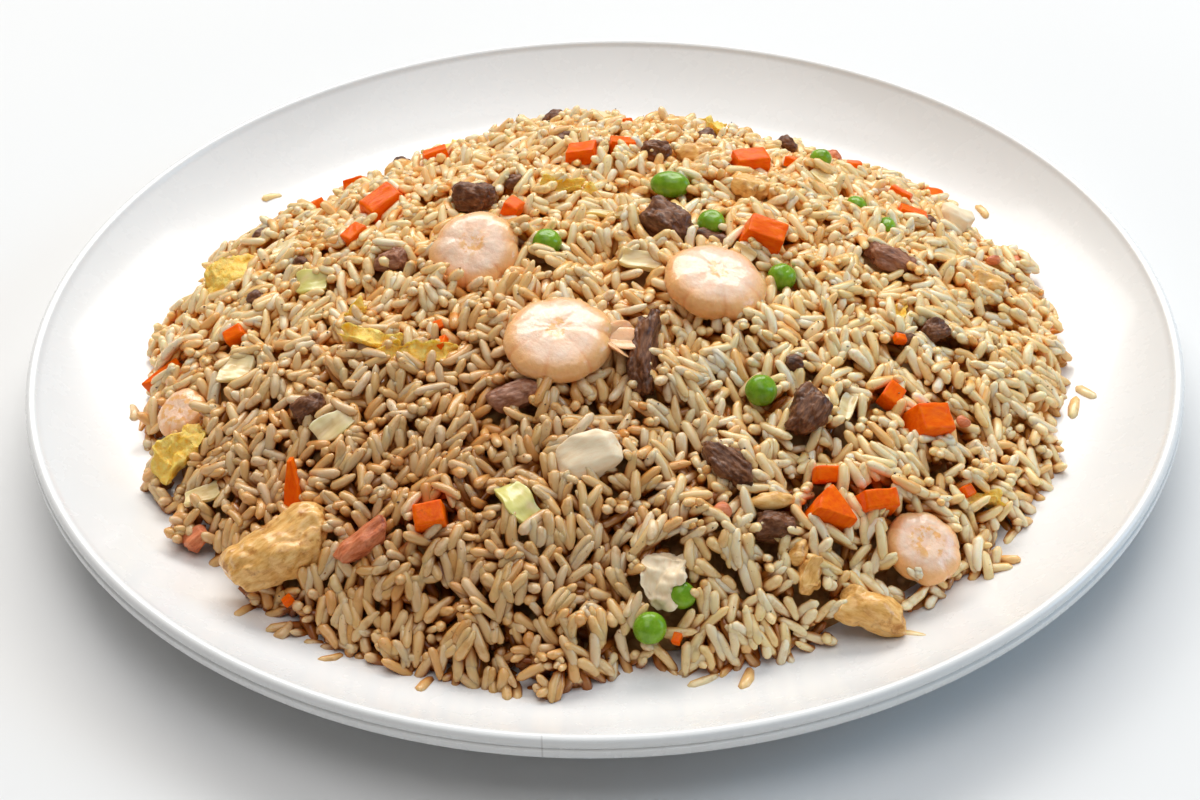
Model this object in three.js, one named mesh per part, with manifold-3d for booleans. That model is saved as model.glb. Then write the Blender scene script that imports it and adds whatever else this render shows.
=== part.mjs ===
// A round coupe plate heaped with fried rice: the plate, the heap of rice and the larger pieces
// that lie in the rice. Millimetres, +Z up. The origin is the middle of the plate's foot ring, on
// the surface that the plate stands on; -Y is the side of the heap that faces the diner.
import * as THREE from 'three';
import { mergeVertices } from 'three/addons/utils/BufferGeometryUtils.js';
import Module from 'manifold-3d';

const wasm = await Module();
wasm.setup();

// ---- Driving sizes -------------------------------------------------------------------------

// Clear space between two pieces that touch.
const GAP = 0.3;

const HALF = 0.5;

// The glazed plate: a level floor, a wall that steepens toward the rim, and a thick rolled rim.
const PLATE = {
  radius: 152.5,
  height: 23,
  floorTop: 9,
  floorRadius: 121,
  floorThickness: 5,
  wallSteps: 5,
  wallCurve: 1.7,
  beadRadius: 1.6,
  beadArc: { from: -48, to: 158, steps: 4 },
  rollRadius: 2.1,
  rollBelowTop: 4,
  rollArc: { from: -100, to: 24, steps: 4 },
  undersideRadius: 114,
  undersideRise: 1,
  outerWallRadius: 136,
  outerWallBelowFloor: 0.5,
  footOuter: 92,
  footInner: 85,
  footSlope: 1.5,
  segments: 48,
};

// The heap of rice: a low dome with an uneven outline, one grain thick at its edge.
const HEAP = {
  radius: 120,
  height: 42,
  edge: 3,
  shoulder: 2.2,
  roundness: 0.85,
  rings: 11,
  sectors: 38,
};

// Bulges of the heap's outline: how many go round, how far they reach out, where one points.
const OUTLINE_BULGES = [
  { count: 1, reach: 5.5, degrees: -84 },
  { count: 2, reach: 3.5, degrees: 21 },
  { count: 5, reach: 2, degrees: 19 },
  { count: 7, reach: 1, degrees: -8 },
  { count: 13, reach: 0.9, degrees: 12 },
];

// Swells of the heap's top: height, spacing along x and y, and where the swell starts.
const TOP_SWELLS = [
  { height: 1.5, spanX: 33, spanY: 41, start: 0.6 },
  { height: 1.1, spanX: 21, spanY: 17, start: 2.1 },
];

// ---- The pieces in the rice ----------------------------------------------------------------
// x and y: place of the middle. size: length, width and height. rise: height of the middle over
// the rice. turn: way the length points. pitch: the leading end lifted. roll: turned about the
// length. tip: the whole piece tipped to face the diner.

const CARROTS = [
  { x: -47, y: 66, size: [7.5, 5, 4], rise: 0.3, turn: 10, roll: 5 },
  { x: -59, y: 32, size: [12, 8, 7], rise: 0.5, turn: 35, pitch: 8, roll: 15 },
  { x: -65, y: 14, size: [6.5, 5, 5], rise: 0.3, turn: 40, pitch: 10, roll: 10 },
  { x: -5, y: 46, size: [9, 6, 4.5], rise: 0.8, turn: -12, roll: 10 },
  { x: 7, y: 51, size: [8, 5, 4], rise: 0.6, turn: 5, roll: 8 },
  { x: 42, y: 43, size: [10.5, 6, 5.5], rise: 1.2, turn: 22, pitch: 5, roll: 12 },
  { x: 42, y: -1, size: [11, 7.5, 6.5], rise: 1.5, turn: -14, roll: 8 },
  { x: 86, y: 30, size: [9, 5, 3.5], rise: 0.3, turn: -5, roll: 4 },
  { x: 71, y: -49, size: [6, 5, 5], rise: 0.2, turn: 60, pitch: 8 },
  { x: 79, y: -56, size: [10, 8.5, 8.5], rise: 1.2, turn: 18, roll: 8 },
  { x: 64, y: -82, size: [10, 5.5, 10.5], rise: 1, turn: 14, roll: 12 },
  { x: -76, y: -70, size: [13, 5.5, 4.5], rise: 1.5, turn: 78, pitch: 38, roll: 10 },
  { x: -42, y: -88, size: [8, 6.5, 10.5], rise: -0.5, turn: 6, roll: 8 },
];

// Pieces cut from a round slice, with the carrot's skin side still curved.
const CARROT_WEDGES = [
  { x: 53, y: -87, size: [11, 10, 9], rise: 1, turn: 150, pitch: 8, roll: 10 },
  { x: -117, y: -11, size: [12, 8, 5], rise: -1.5, turn: 8, roll: 5 },
];

const PEAS = [
  { x: -14, y: -3, size: [7.8, 7.6, 7.4], rise: 1.2 },
  { x: 38, y: -56, size: [7.8, 7.8, 7.6], rise: 1.4 },
  { x: 46, y: -15, size: [7.4, 7.2, 7], rise: 0.2 },
  { x: 19, y: 24, size: [11, 7.4, 7], rise: 1, turn: -14 },
  { x: 29, y: 5, size: [7.4, 7.2, 7], rise: 0.2 },
  { x: 9, y: -113, size: [7.8, 7.6, 7.2], rise: 1 },
];

// curl: radius of the curled back's middle line. body: half the body's thickness. sweep: how far
// the body curls round. flare: how far the tail turns out.
const PRAWNS = [
  { x: -33, y: -3, curl: 7.8, body: 5.8, sweep: 312, flare: 0, rise: 1.6, turn: 185, tip: 18 },
  { x: -12, y: -44, curl: 8.2, body: 5.8, sweep: 315, flare: 5, rise: 2, turn: 20, tip: 8 },
  { x: 29, y: -22, curl: 8.9, body: 6, sweep: 300, flare: 1, rise: 1.6, turn: 245, roll: 180 },
  { x: 75, y: -89, curl: 6.4, body: 4.8, sweep: 290, flare: 0, rise: -0.5, turn: 215, roll: 180 },
  { x: -108, y: -30, curl: 5, body: 3.8, sweep: 250, flare: 0, rise: -1, turn: 100, tip: 10 },
];

const BEEF = [
  { x: -34, y: 22, size: [12.5, 9, 8], rise: 1.2, turn: -20, pitch: 5 },
  { x: -54, y: -1, size: [9, 7, 6.5], rise: 0.6, turn: -30, pitch: 10 },
  { x: 17, y: 3, size: [16, 12, 11], rise: 1.8, turn: -40 },
  { x: 16, y: 48, size: [8, 6.5, 5.5], rise: 0.8, turn: -15 },
  { x: 10, y: -46, size: [24, 7, 8], rise: 0, turn: 84, pitch: 4 },
  { x: 49, y: -62, size: [13, 9.5, 8], rise: 0.8, turn: 64, pitch: 10 },
  { x: 29, y: -78, size: [15, 7.5, 6.5], rise: 0.5, turn: -48 },
  { x: 39, y: -91, size: [11, 7.5, 6.5], rise: 0.5, turn: 8 },
  { x: 76, y: 2, size: [13.5, 8, 5.5], rise: 0, turn: -12 },
  { x: 85, y: -23, size: [7, 6.5, 5.5], rise: 0.3, turn: 20 },
  { x: -73, y: -50, size: [9.5, 7, 6], rise: 0.7, turn: 28 },
  { x: -22, y: -57, size: [12.5, 7, 5.5], rise: 0, turn: 4 },
];

const CHICKEN = [
  { x: -79, y: -87, size: [28, 15, 11], rise: 2, turn: 22 },
  { x: -4, y: -75, size: [16, 11, 7.5], rise: 0.8, turn: 12, pitch: 6, roll: 15 },
  { x: 103, y: 6, size: [11, 9, 7], rise: 0.5, turn: 25 },
  { x: 100, y: 44, size: [10, 9, 7.5], rise: 0.5, turn: -25 },
  { x: 28, y: 50, size: [13, 8, 6.5], rise: 0.9, turn: -6 },
  { x: 40, y: 28, size: [11.5, 8.5, 7], rise: 0.5, turn: -30 },
  { x: 47, y: -101, size: [9, 7, 5.5], rise: 0.8, turn: 60, pitch: 10 },
  { x: 61, y: -106, size: [18, 10, 7], rise: 1, turn: -8 },
];

const HAM = [
  { x: -58, y: -91, size: [15.5, 5.5, 5.5], rise: 1.2, turn: 30, pitch: 8 },
  { x: -101, y: -72, size: [6.5, 5.5, 5], rise: 0, turn: 30 },
];

// bend: radius that the length is bowed to. ripple: height of the waves across the width.
const EGG = [
  { x: -101, y: 23, size: [17, 9, 2.2], bend: 12, ripple: 1, rise: 2, turn: 20, roll: 10 },
  { x: -48, y: -39, size: [21, 5, 1.6], bend: 30, ripple: 0.6, rise: 1, turn: -12, roll: 10 },
  { x: -108, y: -46, size: [18, 8, 2], bend: 11, ripple: 1, rise: 2, turn: 48, roll: 10 },
  { x: 13, y: -103, size: [15, 9, 1.6], bend: 9, ripple: 0.6, rise: 1.5, turn: 82, roll: -10 },
];

const CABBAGE = [
  { x: -76, y: 0, size: [9, 6, 1.5], bend: 14, ripple: 0.4, rise: 0.6, turn: -20, roll: 12 },
  { x: -94, y: -27, size: [9.5, 8, 1.5], bend: 20, ripple: 0.4, rise: 0.8, turn: 70, roll: 10 },
  { x: -67, y: -57, size: [10, 7, 1.8], bend: 14, ripple: 0.3, rise: 0.8, turn: 35, roll: 10 },
  { x: -21, y: -87, size: [12, 6.5, 1.6], bend: 12, ripple: 0.4, rise: 1, turn: 125, roll: 15 },
  { x: 37, y: -6, size: [6, 3.5, 1.3], bend: 9, ripple: 0.3, rise: 0.8, turn: -40, roll: 20 },
];

// How square a hand-cut chunk is, and the waves that dent it: the spacing of each wave, where it
// starts, and how far it moves on from one piece to the next.
const CHUNK = {
  squareness: 0.75,
  largeLength: 20,
  dentDepth: 0.12,
  dentWaves: [
    { across: [4, 3, 0], start: 0, nextPiece: 2.4 },
    { across: [0, 5, -3], start: Math.PI / 2, nextPiece: 1.7 },
  ],
};

// How much narrower a knife-cut block is at its top, and how far the top is set to one side.
const DICE = { narrowing: 0.1, narrowingSpread: 0.06, shift: 0.08, nextPiece: 2.1 };

// The body of a curled prawn: cut square at the head end, thickest behind it, thin at the tail.
// endRoom: degrees that its pocket reaches past each end.
const PRAWN = {
  rings: 9,
  sides: 8,
  cutShare: 0.25,
  headRounding: 0.16,
  tailStart: 0.8,
  tailThickness: 0.3,
  taper: 1.8,
  endRoom: 6,
  pocketSteps: 6,
};

const MATERIALS = {
  glaze: { color: 0xf1efea, roughness: 0.12 },
  rice: { color: 0xd8b98a, roughness: 0.5 },
  carrot: { color: 0xe85a0c, roughness: 0.35 },
  pea: { color: 0x5da02c, roughness: 0.3 },
  prawn: { color: 0xf6cdb0, roughness: 0.3 },
  beef: { color: 0x5b3a2c, roughness: 0.55 },
  chicken: { color: 0xdda860, roughness: 0.45 },
  ham: { color: 0xb4584a, roughness: 0.4 },
  egg: { color: 0xe8c468, roughness: 0.45 },
  cabbage: { color: 0xd9cf9a, roughness: 0.35 },
};

// ---- Solids --------------------------------------------------------------------------------

function toSolid(geometry) {
  const bare = geometry.clone();
  bare.deleteAttribute('normal');
  bare.deleteAttribute('uv');
  const merged = mergeVertices(bare);
  const vertProperties = Float32Array.from(merged.attributes.position.array);
  const triVerts = Uint32Array.from(merged.index.array);
  return new wasm.Manifold(new wasm.Mesh({ numProp: 3, vertProperties, triVerts }));
}

function toGeometry(solid) {
  const { vertProperties, triVerts } = solid.getMesh();
  const geometry = new THREE.BufferGeometry();
  geometry.setAttribute('position', new THREE.BufferAttribute(vertProperties, 3));
  geometry.setIndex(new THREE.BufferAttribute(triVerts, 1));
  geometry.computeVertexNormals();
  return geometry;
}

function moveVertices(geometry, move) {
  const position = geometry.attributes.position;
  const point = new THREE.Vector3();
  for (let i = 0; i < position.count; i += 1) {
    point.fromBufferAttribute(position, i);
    move(point);
    position.setXYZ(i, point.x, point.y, point.z);
  }
  return geometry;
}

// A closed body through rings of points, each ring with the same count, capped at both ends.
function bodyThroughRings(rings) {
  const sides = rings[0].length;
  const points = rings.flat();
  const faces = [];
  for (let ring = 0; ring + 1 < rings.length; ring += 1) {
    for (let side = 0; side < sides; side += 1) {
      const a = ring * sides + side;
      const b = ring * sides + ((side + 1) % sides);
      faces.push(a, b, a + sides, b, b + sides, a + sides);
    }
  }
  const last = (rings.length - 1) * sides;
  for (let side = 1; side + 1 < sides; side += 1) {
    faces.push(0, side + 1, side, last, last + side, last + side + 1);
  }
  const geometry = new THREE.BufferGeometry().setFromPoints(points);
  geometry.setIndex(faces);
  return geometry;
}

// ---- The plate -----------------------------------------------------------------------------

function arcPoints(centreX, centreY, radius, { from, to, steps }) {
  const points = [];
  for (let step = 0; step <= steps; step += 1) {
    const angle = THREE.MathUtils.degToRad(THREE.MathUtils.lerp(from, to, step / steps));
    points.push(new THREE.Vector2(
      centreX + radius * Math.cos(angle), centreY + radius * Math.sin(angle)));
  }
  return points;
}

// From the rim's underside, round the lower roll, over the groove and round the top bead.
function rimPoints() {
  const rollX = PLATE.radius - PLATE.rollRadius;
  const rollY = PLATE.height - PLATE.rollBelowTop;
  const beadX = PLATE.radius - PLATE.beadRadius - GAP;
  const beadY = PLATE.height - PLATE.beadRadius;
  return [
    ...arcPoints(rollX, rollY, PLATE.rollRadius, PLATE.rollArc),
    ...arcPoints(beadX, beadY, PLATE.beadRadius, PLATE.beadArc),
  ];
}

// Height of the plate's upper surface at a distance from its middle.
function plateTop(radius) {
  const rim = rimPoints().at(-1);
  const share = THREE.MathUtils.inverseLerp(PLATE.floorRadius, rim.x, radius);
  return THREE.MathUtils.lerp(
    PLATE.floorTop, rim.y, THREE.MathUtils.clamp(share, 0, 1) ** PLATE.wallCurve);
}

// From the rim down the inner wall to the edge of the floor.
function wallPoints(rim) {
  const points = [];
  for (let step = 1; step <= PLATE.wallSteps; step += 1) {
    const radius = THREE.MathUtils.lerp(rim.x, PLATE.floorRadius, step / PLATE.wallSteps);
    points.push(new THREE.Vector2(radius, plateTop(radius)));
  }
  return points;
}

function plateGeometry() {
  const underside = PLATE.floorTop - PLATE.floorThickness;
  const rim = rimPoints();
  const profile = [
    new THREE.Vector2(0, underside),
    new THREE.Vector2(PLATE.footInner - PLATE.footSlope, underside),
    new THREE.Vector2(PLATE.footInner, 0),
    new THREE.Vector2(PLATE.footOuter, 0),
    new THREE.Vector2(PLATE.footOuter + PLATE.footSlope, underside),
    new THREE.Vector2(PLATE.undersideRadius, underside + PLATE.undersideRise),
    new THREE.Vector2(PLATE.outerWallRadius, PLATE.floorTop - PLATE.outerWallBelowFloor),
    ...rim,
    ...wallPoints(rim.at(-1)),
    new THREE.Vector2(0, PLATE.floorTop),
  ];
  return new THREE.LatheGeometry(profile, PLATE.segments).rotateX(Math.PI / 2);
}

// ---- The heap of rice ----------------------------------------------------------------------

function heapRadius(angle) {
  return OUTLINE_BULGES.reduce((radius, bulge) => {
    const offset = angle - THREE.MathUtils.degToRad(bulge.degrees);
    return radius + bulge.reach * Math.cos(bulge.count * offset);
  }, HEAP.radius);
}

function heapTop(x, y) {
  const share = Math.min(1, Math.hypot(x, y) / heapRadius(Math.atan2(y, x)));
  const dome = (1 - share ** HEAP.shoulder) ** HEAP.roundness;
  const swell = TOP_SWELLS.reduce((sum, wave) => sum + wave.height
    * Math.sin((x * 2 * Math.PI) / wave.spanX + wave.start)
    * Math.sin((y * 2 * Math.PI) / wave.spanY + wave.start), 0);
  return PLATE.floorTop + HEAP.edge + (HEAP.height - HEAP.edge + swell) * dome;
}

// The way a piece that lies at a place faces: it leans with the slope, but less near the edge.
function restingDirection(x, y) {
  const step = 8;
  const steepest = 0.45;
  const slopeX = (heapTop(x + step, y) - heapTop(x - step, y)) / (2 * step);
  const slopeY = (heapTop(x, y + step) - heapTop(x, y - step)) / (2 * step);
  const slope = new THREE.Vector2(-slopeX, -slopeY).clampLength(0, steepest);
  return new THREE.Vector3(slope.x, slope.y, 1).normalize();
}

// The dome is built as nested rings, from one tiny ring at the crown down to the plate.
function heapGeometry() {
  const crownShare = 0.02;
  const rings = [];
  for (let ring = 0; ring <= HEAP.rings; ring += 1) {
    const share = THREE.MathUtils.lerp(crownShare, 1, ring / HEAP.rings);
    rings.push(heapRing(share, heapTop));
  }
  rings.push(heapRing(1, (x, y) => plateTop(Math.hypot(x, y)) + GAP));
  return bodyThroughRings(rings.reverse());
}

function heapRing(share, heightAt) {
  const points = [];
  for (let sector = 0; sector < HEAP.sectors; sector += 1) {
    const angle = (sector / HEAP.sectors) * 2 * Math.PI;
    const x = heapRadius(angle) * share * Math.cos(angle);
    const y = heapRadius(angle) * share * Math.sin(angle);
    points.push(new THREE.Vector3(x, y, heightAt(x, y)));
  }
  return points;
}

// ---- Shapes of the pieces -------------------------------------------------------------------

function peaShape({ size }) {
  const [length, width, height] = size;
  const unitBall = new THREE.IcosahedronGeometry(HALF, 1);
  return unitBall.scale(length, width, height);
}

// A rough hand-cut chunk: a ball pushed toward a block, with dents that differ by piece.
function chunkShape({ size, index }) {
  const [length, width, height] = size;
  const detail = length > CHUNK.largeLength ? 2 : 1;
  const push = (value) => Math.sign(value) * Math.abs(value) ** CHUNK.squareness;
  return moveVertices(new THREE.IcosahedronGeometry(1, detail), (point) => {
    const reach = HALF * (1 - CHUNK.dentDepth * dentAt(point, index));
    point.set(push(point.x) * length, push(point.y) * width, push(point.z) * height);
    point.multiplyScalar(reach);
  });
}

function dentAt(point, index) {
  return CHUNK.dentWaves.reduce((depth, wave) => {
    const phase = new THREE.Vector3(...wave.across).dot(point);
    return depth + Math.sin(phase + wave.start + wave.nextPiece * index);
  }, 0);
}

// A knife-cut block whose top is narrower than its base and set a little to one side.
function diceShape({ size, index }, grow = 0) {
  const [length, width, height] = size;
  const narrowing = DICE.narrowing + DICE.narrowingSpread * Math.sin(DICE.nextPiece * index);
  const shift = DICE.shift * length * Math.cos(DICE.nextPiece * index);
  const block = new THREE.BoxGeometry(length, width, height);
  return moveVertices(block, (point) => {
    const up = point.z / height + HALF;
    point.x = point.x * (1 - narrowing * up) + shift * up + Math.sign(point.x) * grow;
    point.y = point.y * (1 - narrowing * up) + Math.sign(point.y) * grow;
    point.z += Math.sign(point.z) * grow;
  });
}

// Part of a round slice: two straight cuts meet at the middle, the third side is the skin. Where
// the wedge grows, its sharp tip moves further than its sides.
function wedgeShape({ size }, grow = 0) {
  const skinSteps = 5;
  const tipGrowth = 1.5;
  const [length, width, height] = size;
  const halfDegrees = THREE.MathUtils.radToDeg(Math.atan2(width / 2, length));
  const skinArc = { from: -halfDegrees, to: halfDegrees, steps: skinSteps };
  const tip = new THREE.Vector2(-length / 2 - tipGrowth * grow, 0);
  const skin = arcPoints(-length / 2, 0, length + grow, skinArc);
  skin.forEach((point) => { point.y += Math.sign(point.y) * grow; });
  const outline = new THREE.Shape([tip, ...skin]);
  const depth = height + 2 * grow;
  return new THREE.ExtrudeGeometry(outline, { depth, bevelEnabled: false })
    .translate(0, 0, -depth / 2);
}

// A thin leaf or strip, bowed along its length and waved across its width.
function sheetShape({ size, bend, ripple }) {
  const lengthSteps = 5;
  const widthSteps = 2;
  const wavesAlong = 2;
  const wavesAcross = 3;
  const [length, width, thickness] = size;
  const sheet = new THREE.BoxGeometry(length, width, thickness, lengthSteps, widthSteps);
  return moveVertices(sheet, (point) => {
    const angle = point.x / bend;
    const wave = ripple * Math.sin(wavesAlong * angle + (wavesAcross * point.y) / width);
    const reach = bend + point.z;
    point.set(reach * Math.sin(angle), point.y, reach * Math.cos(angle) - bend + wave);
  });
}

// A peeled prawn curled on its side: thick at the head end, thin at the tail.
function prawnShape({ curl, body, sweep, flare }) {
  const rings = [];
  for (let ring = 0; ring <= PRAWN.rings; ring += 1) {
    const share = ring / PRAWN.rings;
    const angle = THREE.MathUtils.degToRad(sweep * share);
    const outward = flare * Math.max(0, (share - PRAWN.tailStart) / (1 - PRAWN.tailStart));
    rings.push(prawnRing(angle, curl + outward, body * prawnTaper(share)));
  }
  return bodyThroughRings(rings);
}

function prawnTaper(share) {
  const head = Math.sqrt(Math.min(1, PRAWN.cutShare + share / PRAWN.headRounding));
  return head * THREE.MathUtils.lerp(1, PRAWN.tailThickness, share ** PRAWN.taper);
}

function prawnRing(angle, curl, thickness) {
  const points = [];
  for (let side = 0; side < PRAWN.sides; side += 1) {
    const around = (side / PRAWN.sides) * 2 * Math.PI;
    const reach = curl + thickness * Math.cos(around);
    points.push(new THREE.Vector3(
      reach * Math.cos(angle), reach * Math.sin(angle), -thickness * Math.sin(around)));
  }
  return points;
}

// ---- Pockets in the rice, each a plainer solid that clears its piece by the gap ---------------

// A twenty-sided pocket, stretched to the piece and then grown until the piece fits inside.
function roundPocket(place, shape) {
  const piece = shape(place);
  piece.computeBoundingBox();
  const half = piece.boundingBox.getSize(new THREE.Vector3()).multiplyScalar(HALF);
  half.addScalar(GAP);
  const middle = piece.boundingBox.getCenter(new THREE.Vector3());
  const pocket = new THREE.IcosahedronGeometry(1, 0);
  const growth = fittingGrowth(piece, middle, half, faceMiddles(pocket));
  return pocket.scale(half.x, half.y, half.z).scale(growth, growth, growth)
    .translate(middle.x, middle.y, middle.z);
}

function faceMiddles(geometry) {
  const corners = geometry.attributes.position;
  const middles = [];
  for (let i = 0; i < corners.count; i += 3) {
    const middle = new THREE.Vector3();
    [i, i + 1, i + 2].forEach((corner) => {
      middle.add(new THREE.Vector3().fromBufferAttribute(corners, corner));
    });
    middles.push(middle.divideScalar(3));
  }
  return middles;
}

function fittingGrowth(piece, middle, half, middles) {
  let growth = 1;
  moveVertices(piece.clone(), (point) => {
    const scaled = point.clone().sub(middle).divide(half);
    middles.forEach((face) => {
      growth = Math.max(growth, scaled.dot(face) / face.lengthSq());
    });
  });
  return growth;
}

function dicePocket(place, shape) {
  return shape(place, GAP);
}

// A curled prawn lies in a hollow that bends as it does, so that rice fills its curl and the gap
// between its head and its tail.
function prawnPocket({ curl, body, sweep, flare }) {
  const arc = { from: -PRAWN.endRoom, to: sweep + PRAWN.endRoom, steps: PRAWN.pocketSteps };
  const halfStep = THREE.MathUtils.degToRad((arc.to - arc.from) / arc.steps / 2);
  const reach = (curl + body + flare * HALF + GAP) / Math.cos(halfStep);
  const outside = arcPoints(0, 0, reach, arc);
  const inside = arcPoints(0, 0, curl - body - GAP, arc);
  const outline = new THREE.Shape([...outside, ...inside.reverse()]);
  const depth = 2 * (body + GAP);
  return new THREE.ExtrudeGeometry(outline, { depth, bevelEnabled: false })
    .translate(0, 0, -depth / 2);
}

// ---- Setting the pieces in the rice ---------------------------------------------------------

function pieceTurn({ x, y, turn = 0, pitch = 0, roll = 0, tip = 0 }) {
  const up = new THREE.Vector3(0, 0, 1);
  const toSlope = new THREE.Quaternion().setFromUnitVectors(up, restingDirection(x, y));
  const tipped = turnBy(tip, 0, 0);
  return toSlope.multiply(tipped).multiply(turnBy(roll, -pitch, turn));
}

// Degrees about X, then about Y, then about Z.
function turnBy(aboutX, aboutY, aboutZ) {
  const [x, y, z] = [aboutX, aboutY, aboutZ].map(THREE.MathUtils.degToRad);
  return new THREE.Quaternion().setFromEuler(new THREE.Euler(x, y, z, 'ZYX'));
}

// Height that a piece needs so that it lies on the plate and not in it.
function plateLift(geometry) {
  const corners = geometry.attributes.position;
  let lift = 0;
  for (let i = 0; i < corners.count; i += 1) {
    const [x, y, z] = corners.array.slice(3 * i, 3 * i + 3);
    lift = Math.max(lift, plateTop(Math.hypot(x, y)) + GAP - z);
  }
  return lift;
}

function makePiece(kind, material, place, index) {
  const piece = { ...place, index };
  const mesh = new THREE.Mesh(toGeometry(toSolid(kind.shape(piece))), material);
  mesh.name = `${kind.name}_${String(index + 1).padStart(2, '0')}`;
  mesh.quaternion.copy(pieceTurn(place));
  mesh.position.set(place.x, place.y, heapTop(place.x, place.y) + place.rise);
  mesh.updateMatrix();
  mesh.position.z += plateLift(mesh.geometry.clone().applyMatrix4(mesh.matrix));
  mesh.updateMatrix();
  const pocket = toSolid(kind.pocket(piece, kind.shape).applyMatrix4(mesh.matrix));
  return { mesh, pocket };
}

function makePieces(kind) {
  const material = makeMaterial(kind.name);
  const first = kind.first ?? 0;
  return kind.places.map((place, i) => makePiece(kind, material, place, first + i));
}

// ---- The dish ------------------------------------------------------------------------------

function makeMaterial(name) {
  const material = new THREE.MeshStandardMaterial({ ...MATERIALS[name], metalness: 0 });
  material.name = name;
  return material;
}

function makePlate() {
  const mesh = new THREE.Mesh(toGeometry(toSolid(plateGeometry())), makeMaterial('glaze'));
  mesh.name = 'plate';
  return mesh;
}

function makeHeap(pieces) {
  const rice = pieces.reduce(
    (solid, piece) => solid.subtract(piece.pocket), toSolid(heapGeometry()));
  const mesh = new THREE.Mesh(toGeometry(rice), makeMaterial('rice'));
  mesh.name = 'rice_heap';
  return mesh;
}

const KINDS = [
  { name: 'carrot', shape: diceShape, pocket: dicePocket, places: CARROTS },
  {
    name: 'carrot', shape: wedgeShape, pocket: dicePocket, places: CARROT_WEDGES,
    first: CARROTS.length,
  },
  { name: 'pea', shape: peaShape, pocket: roundPocket, places: PEAS },
  { name: 'prawn', shape: prawnShape, pocket: prawnPocket, places: PRAWNS },
  { name: 'beef', shape: chunkShape, pocket: roundPocket, places: BEEF },
  { name: 'chicken', shape: chunkShape, pocket: roundPocket, places: CHICKEN },
  { name: 'ham', shape: chunkShape, pocket: roundPocket, places: HAM },
  { name: 'egg', shape: sheetShape, pocket: roundPocket, places: EGG },
  { name: 'cabbage', shape: sheetShape, pocket: roundPocket, places: CABBAGE },
];

function makeDish() {
  const pieces = KINDS.flatMap(makePieces);
  const dish = new THREE.Group();
  dish.add(makePlate(), makeHeap(pieces), ...pieces.map((piece) => piece.mesh));
  return dish;
}

export default makeDish();
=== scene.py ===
"""Fried rice heaped on a round white plate: the grains, the pieces in them, the light and camera.

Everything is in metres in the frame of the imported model: +Z is up and the diner sits at -Y.
"""

import math
from types import SimpleNamespace

import bmesh
import bpy
import numpy as np
from mathutils import Matrix, Vector, noise
from mathutils.bvhtree import BVHTree


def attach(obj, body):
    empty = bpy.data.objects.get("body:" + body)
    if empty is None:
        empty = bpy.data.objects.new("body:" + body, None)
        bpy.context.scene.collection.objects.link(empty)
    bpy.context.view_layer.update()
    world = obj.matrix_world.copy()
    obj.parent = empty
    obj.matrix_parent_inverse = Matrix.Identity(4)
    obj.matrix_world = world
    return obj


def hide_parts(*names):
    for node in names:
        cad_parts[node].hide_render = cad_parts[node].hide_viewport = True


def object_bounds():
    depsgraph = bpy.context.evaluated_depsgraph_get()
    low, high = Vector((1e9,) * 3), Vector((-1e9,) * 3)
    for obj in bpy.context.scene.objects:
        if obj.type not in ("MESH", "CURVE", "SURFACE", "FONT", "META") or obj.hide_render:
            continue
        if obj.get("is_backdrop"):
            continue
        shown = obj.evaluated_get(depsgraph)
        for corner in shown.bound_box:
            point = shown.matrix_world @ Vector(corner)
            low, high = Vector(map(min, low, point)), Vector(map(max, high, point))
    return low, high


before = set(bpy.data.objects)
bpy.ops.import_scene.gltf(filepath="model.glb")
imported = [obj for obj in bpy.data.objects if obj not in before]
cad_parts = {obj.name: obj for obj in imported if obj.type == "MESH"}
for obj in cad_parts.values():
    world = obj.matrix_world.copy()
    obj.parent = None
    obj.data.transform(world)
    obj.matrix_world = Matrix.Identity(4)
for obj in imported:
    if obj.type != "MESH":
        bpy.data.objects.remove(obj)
cad_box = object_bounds()
rng = np.random.default_rng(11)
# Without a seed of its own, noise_vector starts from the clock.
noise.seed_set(11)

MM = 0.001
BODY = "root"
WELD = 0.01 * MM

# ---- Driving sizes ----

PLATE = SimpleNamespace(
    radius=152.5 * MM,
    height=23 * MM,
    floor_top=9 * MM,
    floor_radius=121 * MM,
    underside=4 * MM,
    underside_radius=114 * MM,
    outer_wall=(136 * MM, 8.5 * MM),
    foot_inner=85 * MM,
    foot_outer=92 * MM,
    foot_slope=1.5 * MM,
    roll_radius=2.1 * MM,
    roll_below_top=4 * MM,
    roll_arc=(-100, 24),
    bead_radius=1.6 * MM,
    bead_inset=0.3 * MM,
    bead_arc=(-48, 158),
    wall_curve=1.7,
    steps_round=192,
    steps_arc=12,
    steps_wall=28,
    hub=0.1 * MM,
    inner_floor=0.8,
    sharp_from=38,
)

HEAP = SimpleNamespace(
    radius=120 * MM,
    height=42 * MM,
    edge=3 * MM,
    shoulder=2.2,
    roundness=0.85,
    core_depth=5.8 * MM,
    core_share=0.94,
    ragged=0.035,
    ragged_spacing=9 * MM,
)
CORE = SimpleNamespace(rings=60, sectors=150, share_from_to=(0.01, 0.999), over_floor=0.3 * MM,
                       thickness=0.2 * MM, seed=3)

# Bulges of the heap's outline: how many go round, how far they reach out, where one points.
OUTLINE_BULGES = [
    (1, 5.5 * MM, -84),
    (2, 3.5 * MM, 21),
    (5, 2 * MM, 19),
    (7, 1 * MM, -8),
    (13, 0.9 * MM, 12),
]

# Swells of the heap's top: height, spacing along x and y, where the swell starts.
TOP_SWELLS = [
    (1.5 * MM, 33 * MM, 41 * MM, 0.6),
    (1.1 * MM, 21 * MM, 17 * MM, 2.1),
    (0.8 * MM, 11 * MM, 13 * MM, 4.0),
]

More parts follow.
